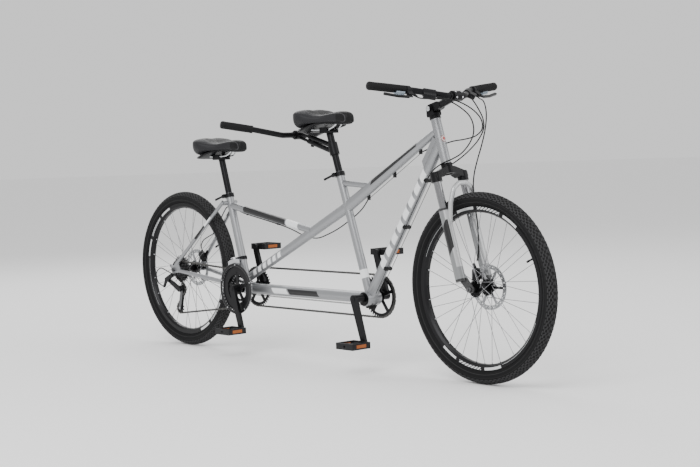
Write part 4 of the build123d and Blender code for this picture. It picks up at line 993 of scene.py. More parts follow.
    @staticmethod
    def repeat(bm: bmesh.types.BMesh, centre: Vector, count: int) -> None:
        """Copies all that is in a mesh round an axle along Y until there are count of it."""
        geom = bm.verts[:] + bm.edges[:] + bm.faces[:]
        bmesh.ops.spin(bm, geom=geom, cent=centre, axis=LEFT, dvec=(0, 0, 0),
                       angle=math.tau * (count - 1) / count, steps=count - 1,
                       use_merge=False, use_duplicate=True)


def dress(frame: dict, finishes: Finishes, finish: object, *nodes: str) -> None:
    """Gives a finish to nodes that keep their own shape.

    Args:
        frame: the loaded frame.
        finishes: where the material comes from.
        finish: the finish.
        nodes: the nodes' names.
    """
    for name in nodes:
        node = frame["nodes"][name]
        if not node.material_slots:
            node.data.materials.append(finishes.get(finish))
        for slot in node.material_slots:
            slot.material = finishes.get(finish)


# ---- wheels --------------------------------------------------------------------------
@dataclass
class Wheel:
    """One wheel's tyre, rim trimmings and hub."""

    maker: Maker
    end: End
    axle_x: float
    rotor_y: float
    hub_flanges: tuple[float, float]
    rim_angle: float
    knobs: int = 96
    casing_radius: float = 0.3315
    crown: float = 0.309
    half_width: float = 0.0245
    bead_radius: float = 0.2835
    bead_half: float = 0.0118
    wall: float = 0.0032
    spokes_a_side: int = 18
    spoke_lean: float = 62.0
    nipple_radius: float = 0.2648
    rows: tuple[tuple[float, ...], ...] = (
        (0.0, 0.62, 0.0052, 0.0), (14.0, 0.56, 0.0046, 0.3), (27.0, 0.56, 0.0046, -0.3),
        (40.0, 0.56, 0.0046, 0.3), (53.0, 0.70, 0.0046, 0.0), (66.0, 0.70, 0.0040, 0.0))

    @property
    def centre(self) -> Vector:
        """The middle of the axle."""
        return Vector((self.axle_x, 0.0, AXLE_Z))

    @property
    def body(self) -> str:
        """The body the wheel turns with."""
        return f"{self.end}_wheel"

    def build(self, frame: dict) -> None:
        """Builds the tyre, nipples and valve, and dresses the nodes kept as they are.

        Args:
            frame: the loaded frame.
        """
        self.tyre()
        self.nipples()
        self.valve()
        finishes = self.maker.finishes
        dress(frame, finishes, RimFinish(f"{self.end} rim", self.axle_x, self.rim_angle),
              f"{self.end}_rim")
        dress(frame, finishes, SPOKE_STEEL, f"{self.end}_spokes")
        dress(frame, finishes, WheelParts(f"{self.end} hub and rotor", self.axle_x,
                                          self.rotor_y), f"{self.end}_hub")

    def skin(self, angle: float, lift: float = 0.0) -> Vector:
        """A point of the casing's profile, by its angle from the tread's middle."""
        tall = self.casing_radius - self.crown + lift
        return Vector((self.crown + tall * math.cos(angle),
                       (self.half_width + lift) * math.sin(angle), 0.0))

    def tyre(self) -> None:
        """A hollow casing with rows of knobs on its tread."""
        bm = bmesh.new()
        angles = [math.radians(a) for a in range(-128, 129, 8)]
        bead, lip = self.bead_radius, self.bead_half - 0.003
        outer = [self.skin(a) for a in angles]
        inner = [self.skin(a, -self.wall) for a in reversed(angles)]
        profile = [Vector((bead, -self.bead_half, 0.0)), *outer,
                   Vector((bead, self.bead_half, 0.0)), Vector((bead, lip, 0.0)), *inner,
                   Vector((bead, -lip, 0.0))]
        self.maker.spin(bm, [self.centre + point for point in profile], self.centre, LEFT, 144,
                        closed=True)
        self.maker.piece(f"{self.end}_tyre_casing", bm, TyreRubber(self.axle_x), self.body,
                         "tyre_rubber", replaces=(f"{self.end}_tyre",))
        bm = bmesh.new()
        pitch = math.tau / self.knobs
        for row, (angle, length, width, turn) in enumerate(self.rows):
            for side in ((1,) if angle == 0.0 else (-1, 1)):
                self.knob(bm, side * math.radians(angle), length * pitch * 0.33, width,
                          turn * side, pitch * (0.5 if (row % 2) != (side > 0) else 0.0))
        self.maker.repeat(bm, self.centre, self.knobs)
        self.maker.piece(f"{self.end}_tyre_knobs", bm, TREAD_RUBBER, self.body,
                         "tyre_rubber", smooth=False)

    def knob(self, bm: bmesh.types.BMesh, angle: float, length: float, width: float,
             turn: float, shift: float) -> None:
        """Adds one knob that stands on the casing.

        Args:
            bm: the mesh to add to.
            angle: its place on the profile, from the tread's middle.
            length: its length round the tyre.
            width: its width across the tread.
            turn: its twist about its own stem.
            shift: its angle round the axle.
        """
        out = Vector((math.cos(angle) * 0.85, math.sin(angle), 0.0)).normalized()
        spot = facing(self.skin(angle) + out * 0.0008, out) @ Matrix.Rotation(turn, 4, "Z")
        tall = 0.0034 if abs(angle) < 0.7 else 0.0024
        verts = bmesh.ops.create_cube(bm, size=1.0, matrix=spot @ Matrix.Diagonal(
            (width, length, tall, 1.0)))["verts"]
        around = Matrix.Rotation(-shift, 4, "Y")
        bmesh.ops.transform(bm, matrix=Matrix.Translation(self.centre) @ around, verts=verts)

    def nipples(self) -> None:
        """The plated ends that hold the spokes in the rim."""
        bm = bmesh.new()
        step = 360.0 / self.spokes_a_side
        for side, hub_y in zip((-1.0, 1.0), reversed(self.hub_flanges)):
            for index in range(self.spokes_a_side):
                root = index * step + (0.0 if side > 0 else step / 2)
                lean = self.spoke_lean if index % 2 == 0 else -self.spoke_lean
                end = self.spot(self.nipple_radius, math.radians(root + lean), side * 0.0035)
                start = self.spot(0.025, math.radians(root), hub_y)
                inward = (start - end).normalized()
                self.maker.cylinder(bm, end, end + inward * 0.011, 0.0021, 6, 0.0017)
        self.maker.piece(f"{self.end}_spoke_nipples", bm, SILVER_ALLOY, self.body,
                         "spoke_steel")

    def spot(self, radius: float, angle: float, y: float) -> Vector:
        """A point at a radius and angle round the axle."""
        return self.centre + Vector((radius * math.cos(angle), y, radius * math.sin(angle)))

    def valve(self) -> None:
        """The tube's valve, standing inwards from the rim between two spokes."""
        bm = bmesh.new()
        angle = math.radians(25.0)
        outer = self.spot(0.266, angle, 0.0)
        inward = (self.centre - outer).normalized()
        self.maker.cylinder(bm, outer, outer + inward * 0.024, 0.0038, 16, 0.0032)
        self.maker.cylinder(bm, outer + inward * 0.024, outer + inward * 0.033, 0.0043, 16,
                            0.0036)
        self.maker.piece(f"{self.end}_valve", bm, BLACK_PLASTIC, self.body, "grip_rubber")


# ---- chains --------------------------------------------------------------------------
@dataclass(frozen=True)
class Pulley:
    """A wheel that a chain passes: its place, pitch radius and which side it passes."""

    x: float
    z: float
    radius: float
    sign: int


@dataclass
class RollerChain:
    """A chain with real links laid round its pulleys."""

    maker: Maker
    name: str
    plane_y: float
    pulleys: Sequence[Pulley]
    pitch: float = CHAIN_PITCH

    def runs(self) -> list[tuple[Vector, Vector]]:
        """Works out the straight run from each pulley to the next.

        Returns:
            Each run's start and end.
        """
        result = []
        for index, first in enumerate(self.pulleys):
            second = self.pulleys[(index + 1) % len(self.pulleys)]
            dx, dz = second.x - first.x, second.z - first.z
            distance = math.hypot(dx, dz)
            swing = math.asin((first.sign * first.radius - second.sign * second.radius)
                              / distance)
            heading = math.atan2(dz, dx) + swing
            normal = Vector((math.sin(heading), 0.0, -math.cos(heading)))
            start = Vector((first.x, self.plane_y, first.z)) + normal * (
                first.sign * first.radius)
            end = Vector((second.x, self.plane_y, second.z)) + normal * (
                second.sign * second.radius)
            result.append((start, end))
        return result

    def stations(self) -> list[tuple[Vector, int]]:
        """Spaces the pins evenly all round the loop.

        Returns:
            Each pin's place and the number of the run it belongs to.
        """
        path: list[Vector] = []
        labels: list[int] = []
        runs = self.runs()
        for index, (start, end) in enumerate(runs):
            pulley = self.pulleys[(index + 1) % len(self.pulleys)]
            after = runs[(index + 1) % len(runs)][0]
            path.append(start)
            low = math.atan2(end.z - pulley.z, end.x - pulley.x)
            high = math.atan2(after.z - pulley.z, after.x - pulley.x)
            turn = (pulley.sign * (high - low)) % math.tau
            steps = max(2, int(turn / 0.03))
            for step in range(steps + 1):
                angle = low + pulley.sign * turn * step / steps
                path.append(Vector((pulley.x + pulley.radius * math.cos(angle), self.plane_y,
                                    pulley.z + pulley.radius * math.sin(angle))))
            labels += [index] * (len(path) - len(labels))
        lengths = [(b - a).length for a, b in zip(path, path[1:])]
        total = sum(lengths)
        links = 2 * round(total / self.pitch / 2)
        pins, travelled, index = [], 0.0, 0
        for link in range(links):
            target = total * link / links
            while travelled + lengths[index] < target:
                travelled += lengths[index]
                index += 1
            share = (target - travelled) / max(lengths[index], 1e-9)
            pins.append((path[index].lerp(path[index + 1], share), labels[index]))
        return pins

    def plate(self, bm: bmesh.types.BMesh) -> list:
        """Adds one waisted link plate at the origin, its pins a pitch apart along X.

        Args:
            bm: the mesh to add to.

        Returns:
            The plate's vertices, edges and faces.
        """
        half, radius = self.pitch / 2, 0.0041
        outline = [(-half - radius, 0.0), (-half - radius * 0.7, radius * 0.72),
                   (-half + 0.0004, radius), (-half + 0.003, radius * 0.85),
                   (0.0, radius * 0.66)]
        top = outline + [(-x, z) for x, z in reversed(outline[:-1])]
        ring = top + [(x, -z) for x, z in reversed(top[1:-1])]
        face = bm.faces.new([bm.verts.new((x, 0.0, z)) for x, z in ring])
        side = bmesh.ops.extrude_face_region(bm, geom=[face])["geom"]
        bmesh.ops.translate(bm, verts=only_verts(side), vec=(0.0, 0.0011, 0.0))
        return bm.verts[:] + bm.edges[:] + bm.faces[:]

    def build(self, node: str, groups: dict[str, tuple[int, ...]]) -> None:
        """Lays every plate and roller in groups that move apart.

        Args:
            node: the plain chain that the groups stand for together.
            groups: the runs in each group, by the name of the body that it follows. A name
            of two bodies joined by a plus leaves the group unattached.
        """
        pins = self.stations()
        for number, (bodies, runs) in enumerate(groups.items()):
            bm = bmesh.new()
            template = self.plate(bm)
            for index, (first, run) in enumerate(pins):
                if run in runs:
                    self.link(bm, template, first, pins[(index + 1) % len(pins)][0],
                              index % 2 == 0)
            bmesh.ops.delete(bm, geom=only_verts(template), context="VERTS")
            pair = bodies.split("+")
            links = self.maker.piece(f"{self.name}_{number + 1}", bm, CHAIN_STEEL,
                                     bodies if len(pair) == 1 else "", "dark_steel",
                                     smooth=False, replaces=(node,))
            if len(pair) == 2:
                start, end = self.runs()[runs[0]]
                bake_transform(links)

    def link(self, bm: bmesh.types.BMesh, template: list, first: Vector, second: Vector,
             outer: bool) -> None:
        """Adds the two plates from one pin to the next, with the first pin and its roller.

        Args:
            bm: the mesh to add to.
            template: the plate to copy.
            first: the first pin's middle.
            second: the next pin's middle.
            outer: whether its plates lie outside its neighbours'.
        """
        along = (second - first).normalized()
        turn = Matrix((along, LEFT, along.cross(LEFT))).transposed().to_4x4()
        middle = (first + second) / 2
        for side in (0.0026, -0.0037) if outer else (0.0014, -0.0025):
            copied = bmesh.ops.duplicate(bm, geom=template)["geom"]
            spot = Matrix.Translation(middle + LEFT * side) @ turn
            bmesh.ops.transform(bm, matrix=spot, verts=only_verts(copied))
        self.maker.cylinder(bm, first - LEFT * 0.0041, first + LEFT * 0.0041, 0.0018, 8)
        self.maker.cylinder(bm, first - LEFT * 0.0014, first + LEFT * 0.0014, 0.0037, 8)


def pitch_radius(teeth: int) -> float:
    """The radius at which a chain's pins ride on a sprocket."""
    return CHAIN_PITCH / (2 * math.sin(math.pi / teeth))


# ---- saddles -------------------------------------------------------------------------
@dataclass
class Saddle:
    """One sprung saddle: padded top, shell, rails and elastomers."""

    maker: Maker
    rider: Rider
    clamp_x: float
    top: float
    rail_drop: float = 0.074

    OUTLINE = ((-0.1085, 0.024, -0.026, -0.062), (-0.105, 0.052, -0.014, -0.076),
               (-0.097, 0.072, -0.003, -0.0825), (-0.084, 0.087, 0.0030, -0.0855),
               (-0.068, 0.0955, 0.0055, -0.0850), (-0.050, 0.0985, 0.0035, -0.0800),
               (-0.030, 0.0955, -0.0035, -0.0715), (-0.012, 0.0850, -0.0110, -0.0640),
               (0.004, 0.0710, -0.0155, -0.0590), (0.020, 0.0560, -0.0165, -0.0560),
               (0.038, 0.0445, -0.0145, -0.0555), (0.058, 0.0370, -0.0110, -0.0560),
               (0.080, 0.0320, -0.0080, -0.0575), (0.104, 0.0290, -0.0072, -0.0590),
               (0.126, 0.0270, -0.0090, -0.0600), (0.142, 0.0235, -0.0130, -0.0590),
               (0.152, 0.0185, -0.0190, -0.0560), (0.1575, 0.0100, -0.0275, -0.0490))

    @property
    def body(self) -> str:
        """The body the saddle rides on."""
        return f"{self.rider}_seat"

    def build(self) -> None:
        """Builds every piece of the saddle."""
        self.pad()
        self.shell()
        self.rails()
        self.springs()

    def pad(self) -> None:
        """The crowned pad with its central dip and rolled edge."""
        bm = bmesh.new()
        shapes = [partial(self.pad_point, station) for station in self.stations()]
        self.maker.skin(bm, shapes, 64)
        cover = SaddleCover(f"{self.rider} saddle cover", self.clamp_x, self.top)
        pad = self.maker.piece(f"{self.rider}_saddle_pad", bm, cover, self.body,
                               "saddle_cover", subdivide=1,
                               replaces=(f"{self.rider}_saddle",))

    def pad_point(self, station: tuple[float, ...], angle: float) -> Vector:
        """A point of the pad's skin.

        Args:
            station: a row of x, half width, height of the top and height of the edge.
            angle: the angle round the pad, from its left.

        Returns:
            The point.
        """
        x, half, high, low = station
        middle = high - 0.024
        c, s = math.cos(angle), math.sin(angle)
        y = math.copysign(abs(c) ** 0.72, c) * half
        if s >= 0:
            z = middle + (high - middle) * s ** 0.62
            z -= self.dip(x, y, half)
        else:
            deep = abs(s) ** 0.8
            y *= 1.0 - 0.16 * s * s
            hollow = 0.30 * half * max(0.0, 1.0 - (y / half) ** 2)
            z = middle - (middle - low - hollow * 0.8) * deep
        return Vector((self.clamp_x + x, y, self.top + z))

    def stations(self) -> list[tuple[float, ...]]:
        """The outline's rows with three smooth ones between each two."""
        smooth = [tuple(curve(*four, t) for four in zip(*around))
                  for around, t in stretches(self.OUTLINE)]
        return [*smooth, self.OUTLINE[-1]]

    @staticmethod
    def dip(x: float, y: float, half: float) -> float:
        """How far the pad's top sinks along its middle, and at its puckered seams.

        Args:
            x: the place ahead of the clamp.
            y: the place to the left of the middle.
            half: the pad's half width there.

        Returns:
            The depth.
        """
        reach = max(0.0, 1.0 - ((x + 0.005) / 0.11) ** 2)
        groove = 0.0055 * reach * math.exp(-(y / 0.011) ** 2)
        seam_y = 0.022 + max(0.0, 0.03 - x) * 0.42
        if half <= seam_y:
            return groove
        apart = abs(y) - seam_y
        seam = 0.0018 * math.exp(-(apart / 0.0035) ** 2)
        pucker = 0.0004 * math.sin(x * math.tau / 0.013 + y * 40.0)
        return groove + seam + pucker * math.exp(-(apart / 0.009) ** 2)

    def shell(self) -> None:
        """The moulded base, a thin skirt under the pad."""
        bm = bmesh.new()
        sections = []
        for x, half, _, low in self.OUTLINE[1:-1]:
            centre = Vector((self.clamp_x + x, 0.0, self.top + low + 0.0075))
            sections.append(Section(centre, LEFT, UP, half * 0.80, 0.0065, 2.6))
        self.maker.loft(bm, sections, 28)
        self.maker.piece(f"{self.rider}_saddle_shell", bm, BLACK_PLASTIC, self.body,
                         "black_plastic", subdivide=1)

    def rails(self) -> None:
        """Two bent rails from the shell's nose to its tail."""
        drop = self.rail_drop
        line = ((-0.072, 0.045, -0.052), (-0.062, 0.039, -0.066), (-0.050, 0.030, -drop),
                (0.0, 0.0255, -drop), (0.050, 0.021, -drop), (0.066, 0.017, -0.070),
                (0.096, 0.012, -0.046))
        for side in (Side.RIGHT, Side.LEFT):
            places = [Vector((self.clamp_x + x, side.value * y, self.top + z))
                      for x, y, z in line]
            bm = bmesh.new()
            sections = []
            for index, place in enumerate(places):
                before = places[max(0, index - 1)]
                after = places[min(len(places) - 1, index + 1)]
                along = (after - before).normalized()
                up = LEFT.cross(along).normalized()
                sections.append(Section(place, along.cross(up), up, 0.0035, 0.0035))
            self.maker.loft(bm, sections, 12)
            self.maker.piece(f"{self.rider}_saddle_rail_{side.word}", bm, POLISHED_STEEL,
                             self.body, "polished_steel", subdivide=1)

    def springs(self) -> None:
        """The two elastomer springs under the tail."""
        bm = bmesh.new()
        for side in (-1.0, 1.0):
            foot = Vector((self.clamp_x - 0.064, side * 0.052, self.top - 0.073))
            for index in range(4):
                low = foot + UP * (index * 0.0062)
                self.maker.cylinder(bm, low, low + UP * 0.0048, 0.0115, 20)
                self.maker.cylinder(bm, low + UP * 0.0040, low + UP * 0.0070, 0.0085, 20)
            arm = Vector((self.clamp_x - 0.050, side * 0.030, self.top - 0.0725))
            self.maker.cylinder(bm, foot + UP * 0.001, arm, 0.0032, 12)
        self.maker.piece(f"{self.rider}_saddle_springs", bm, ELASTOMER, self.body,
                         "black_plastic", bevel=0.0005)


# ---- cables --------------------------------------------------------------------------
@dataclass
class Hose:
    """A cable in its housing, swept in two halves that are left unattached."""

    maker: Maker
    name: str
    node: str
    route: Sequence[Point]
    split: int
    first: tuple[str, str]
    second: tuple[str, str]
    radius: float = 0.0023

    def smooth(self) -> tuple[list[Vector], int]:
        """Puts three more points between each two of the route.

        Returns:
            The points, and the number of the one where the two halves meet.
        """
        given = [Vector(point) * MM for point in self.route]
        points = [curve(*around, t) for around, t in stretches(given)]
        return [*points, given[-1]], self.split * SPLINE_STEPS

    def build(self) -> None:
        """Builds both halves, each left unattached."""
        points, split = self.smooth()
        halves = (points[:split + 1], points[split:])
        for half, bodies, word in zip(halves, (self.first, self.second), ("upper", "lower")):
            bm = bmesh.new()
            self.maker.sweep(bm, half, self.radius)
            hose = self.maker.piece(f"{self.name}_{word}", bm, CABLE_JACKET, "",
                                    "cable_jacket", replaces=(self.node,))
            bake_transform(hose)


# ---- bars ----------------------------------------------------------------------------
@dataclass
class Bar:
    """A handlebar's grips, on its left run from one point to its end."""

    maker: Maker
    owner: Rider
    body: str
    bend: Vector
    tip: Vector
    grip_length: float
    grip_radius: float = 0.0155

    @property
    def along(self) -> Vector:
        """The direction of the left run, outwards."""
        return (self.tip - self.bend).normalized()

    def grips(self, node: str) -> None:
        """Two ribbed grips with raised ends."""
        ribs = int(self.grip_length / 0.004)
        for side in Side:
            bm = bmesh.new()
            tip = side.mirror(self.tip)
            along = side.mirror(self.along)
            across = along.cross(UP).normalized()
            up = across.cross(along).normalized()
            start = tip - along * self.grip_length
            sections = [Section(start + along * 0.0002, across, up, 0.0118, 0.0118)]
            for step in range(ribs * 2):
                share = (step + 0.5) / (ribs * 2)
                swell = 0.0006 * math.sin(share * math.pi)
                edge = step < 5 or step > ribs * 2 - 6
                radius = self.grip_radius - 0.0012 + swell
                radius += 0.0006 if edge else (0.0003 if step % 2 == 0 else -0.0005)
                spot = start + along * (self.grip_length * share)
                sections.append(Section(spot, across, up, radius, radius))
            sections.append(Section(tip + along * 0.0030, across, up, 0.0125, 0.0125))
            self.maker.loft(bm, sections, 24)
            self.maker.piece(f"{self.owner}_grip_{side.word}", bm, GRIP_RUBBER, self.body,
                             "grip_rubber", replaces=(node,) if side is Side.LEFT else ())


# ---- the rest of the frame's dressing ------------------------------------------------
@dataclass
class FrameDressing:
    """Paint and trimmings of the frame itself."""

    maker: Maker

    def paint(self, frame: dict) -> None:
        """Paints each tube, with plain blocks of colour and no lettering.

        Args:
            frame: the loaded frame.
        """
        crossing = Vector((0.1925, 0.0, 0.612))
        front = (fork_point(0.0, 0.0, 43.0) - crossing).normalized()
        rear_foot = Vector((-0.4623, 0.0, 0.303))
        rear = (crossing - rear_foot).normalized()
        stoker_top = Vector((-0.5438, 0.0, 0.612))
        stoker = (Vector((-0.025, 0.0, 0.5176)) - stoker_top).normalized()
        foot = Vector((CAPTAIN_BRACKET_X, 0.0, BRACKET_Z))
        down = (fork_point(0.0, 0.0, -1.0) - foot).normalized()
        boom = Vector((0.0, 0.0, 0.270))
        seat_angle = math.radians(72)
        captain = Vector((-math.cos(seat_angle), 0.0, math.sin(seat_angle)))
        stay_top = Vector((-0.5738, 0.0, 0.628))
        stay = (Vector((-0.8555, 0.0, 0.363)) - stay_top).normalized()
        front_up, stoker_up, stay_up = square_up(front), square_up(stoker), square_up(stay)
        white, black = (0.82, 0.83, 0.84), (0.010, 0.010, 0.011)
        paints = {
            "top_tubes": ("top tube paint", (
                Stripe(crossing, front, 0.165, 0.450, black, 0.9, front_up, 0.0008, 0.05),
                Stripe(stoker_top, stoker, 0.098, 0.372, black, -0.3, stoker_up, -0.009, 0.03),
                Stripe(stoker_top, stoker, 0.378, 0.452, white, -0.3, stoker_up, -0.03, 0.03),
                *(Stripe(rear_foot, rear, 0.075 + 0.036 * i, 0.097 + 0.036 * i, white, 0.35,
                         square_up(rear), -0.0105, 0.0105) for i in range(6)))),
            "down_tube": ("down tube paint", tuple(
                Stripe(foot, down, 0.150 + 0.055 * i, 0.188 + 0.055 * i, white, 0.45,
                       square_up(down), -0.0135, 0.0135) for i in range(8))),
            "boom_tube": ("boom paint", (
                Stripe(boom, FORWARD, -0.262, -0.168, white, -0.8, UP, -0.011, 0.011),
                Stripe(boom, FORWARD, -0.160, 0.022, black, -0.8, UP, -0.011, 0.011))),
            "seat_tubes": ("seat tube paint", (
                Stripe(foot, captain, 0.075, 0.108, white, 0.0, front_up, -1.0, 1.0),)),
            "rear_triangle": ("stay paint", (
                Stripe(stay_top, stay, 0.085, 0.140, white, 0.0, stay_up, -0.012, 0.012),
                Stripe(stay_top, stay, 0.140, 0.222, black, 0.0, stay_up, -0.012, 0.012))),
            "head_tube": ("head tube paint", ())}
        for node, (name, stripes) in paints.items():
            dress(frame, self.maker.finishes, MetallicPaint(name, stripes=stripes), node)

    def dress_rest(self, frame: dict) -> None:
        """Dresses the frame's bearings, cables, brackets and small fittings."""
        for finish, nodes in (
                (BLACK_PAINT, ("bearings", "fork_crown")),
                (BLACK_ALLOY, (
                    "seat_collars", "rear_brake_caliper", "captain_seatpost",
                    "stoker_seatpost", "stoker_stem", "stoker_handlebar", "stem_base",
                    "stem_arm", "handlebar", "left_brake_lever", "right_brake_lever",
                    "front_brake_caliper", "captain_cranks", "stoker_cranks",
                    "captain_seat_lever", "stoker_seat_lever", "front_derailleur",
                    "rear_derailleur")),
                (SILVER_ALLOY, ("front_derailleur_cage",)),
                (DARK_STEEL, ("rear_axle", "front_axle", "derailleur_cage")),
                (RingSet(), ("chainrings",)),
                (SPROCKET_STEEL, ("freewheel",)),
                (CABLE_JACKET, ("frame_cables",)),
                (BLACK_PLASTIC, ("hand_controls", "upper_jockey", "lower_jockey")),
                (CHROME, ("fork_stanchions",)),
                (ForkPaint(), ("fork_lowers",))):
            dress(frame, self.maker.finishes, finish, *nodes)


@dataclass
class Pedals:
    """The four pedals' finishes."""

    maker: Maker

    def build(self, frame: dict) -> None:
        """Dresses each pedal round its own centre."""
        for rider in Rider:
            for side in Side:
                node = f"{rider}_{side.word}_pedal"
                low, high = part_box(node)
                centre = tuple((low + high) / 2)
                dress(frame, self.maker.finishes, PedalFinish(node.replace("_", " "), centre),
                      node)


# ---- studio --------------------------------------------------------------------------
@dataclass
class Studio:
    """A pale floor, soft lights and the camera."""

    camera_place: Point = (4.3065, -3.6331, 0.8288)
    yaw: float = 138.507
    pitch: float = -3.326
    roll: float = -1.885
    lens: float = 74.2

    def build(self) -> None:
        """Sets up the floor, the lights and the camera."""
        self.floor()
        self.lights()
        self.camera()

    def floor(self) -> None:
        """A wide pale floor that meets a pale sky."""
        """A wide pale floor that meets a pale sky."""
        bm = bmesh.new()
        bmesh.ops.create_circle(bm, cap_ends=True, segments=96, radius=60.0)
        floor = add_mesh("floor", bm)
        graph = Graph("pale floor")
        floor.data.materials.append(graph.surface((0.93, 0.93, 0.93), 0.9))
        world = bpy.context.scene.world or bpy.data.worlds.new("studio")
        bpy.context.scene.world = world
        world.use_nodes = True
        sky = world.node_tree.nodes["Background"]
        sky.inputs[0].default_value = (1.0, 1.0, 1.0, 1.0)
        sky.inputs[1].default_value = 0.95

    @staticmethod
    def lights() -> None:
        """Three large soft lights."""
        for name, place, size, power in (("key", (2.0, -4.0, 4.5), 4.0, 260.0),
                                         ("fill", (4.5, 3.0, 3.5), 4.0, 90.0),
                                         ("rim", (-4.0, 1.5, 4.0), 3.5, 110.0)):
            light = bpy.data.lights.new(name, "AREA")
            light.energy = power
            light.size = size
            lamp = add_object(name, light)
            lamp.location = place
            aim = Vector((0.0, 0.0, 0.4)) - Vector(place)
            lamp.rotation_euler = aim.to_track_quat("-Z", "Y").to_euler()

    def camera(self) -> None:
        """The camera, aimed by its yaw, pitch and roll."""
        data = bpy.data.cameras.new("camera")
        data.lens = self.lens
        data.sensor_width = 36.0
        camera = add_object("camera", data)
        yaw, pitch = math.radians(self.yaw), math.radians(self.pitch)
        ahead = Vector((math.cos(yaw) * math.cos(pitch), math.sin(yaw) * math.cos(pitch),
                        math.sin(pitch)))
        right = Vector((math.sin(yaw), -math.cos(yaw), 0.0))
        up = right.cross(ahead)
        roll = math.radians(self.roll)
        tilted = right * math.cos(roll) + up * math.sin(roll)
        lifted = tilted.cross(ahead)
        turn = Matrix((tilted, lifted, -ahead)).transposed().to_4x4()
        camera.matrix_world = Matrix.Translation(self.camera_place) @ turn
        bpy.context.scene.camera = camera


@dataclass
class ForkSprings:
    """The coil in each fork leg, swept once in a fixed shape; on the real fork it shortens as
    the lowers rise.
    """

    maker: Maker
    top: float = -121.2
    bottom: float = -497.8
    radius: float = 9.4
    wire: float = 2.0
    turns: float = 12.5

    def build(self) -> None:
        """Sweeps both coils, left unattached."""
        for side, word in ((66.0, "left"), (-66.0, "right")):
            points = []
            steps = int(self.turns * 16)
            for step in range(steps + 1):
                share = step / steps
                angle = math.tau * self.turns * share
                points.append(fork_point(self.radius * math.cos(angle),
                                         side + self.radius * math.sin(angle),
                                         self.top + (self.bottom - self.top) * share))
            bm = bmesh.new()
            self.maker.sweep(bm, points, self.wire * MM, 8)
            coil = self.maker.piece(f"fork_spring_{word}", bm, DARK_STEEL, "", "dark_steel",
                                    replaces=("fork_springs",))
            tuple(fork_point(0, side, self.top))
            tuple(fork_point(0, side, self.bottom))
            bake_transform(coil)


@dataclass(frozen=True)
class Bolts:
    """Socket-head bolts of one size, each a place and the way it faces."""

    name: str
    body: str
    slot: str
    finish: object
    radius: float
    height: float
    spots: tuple[tuple[Vector, Vector], ...]


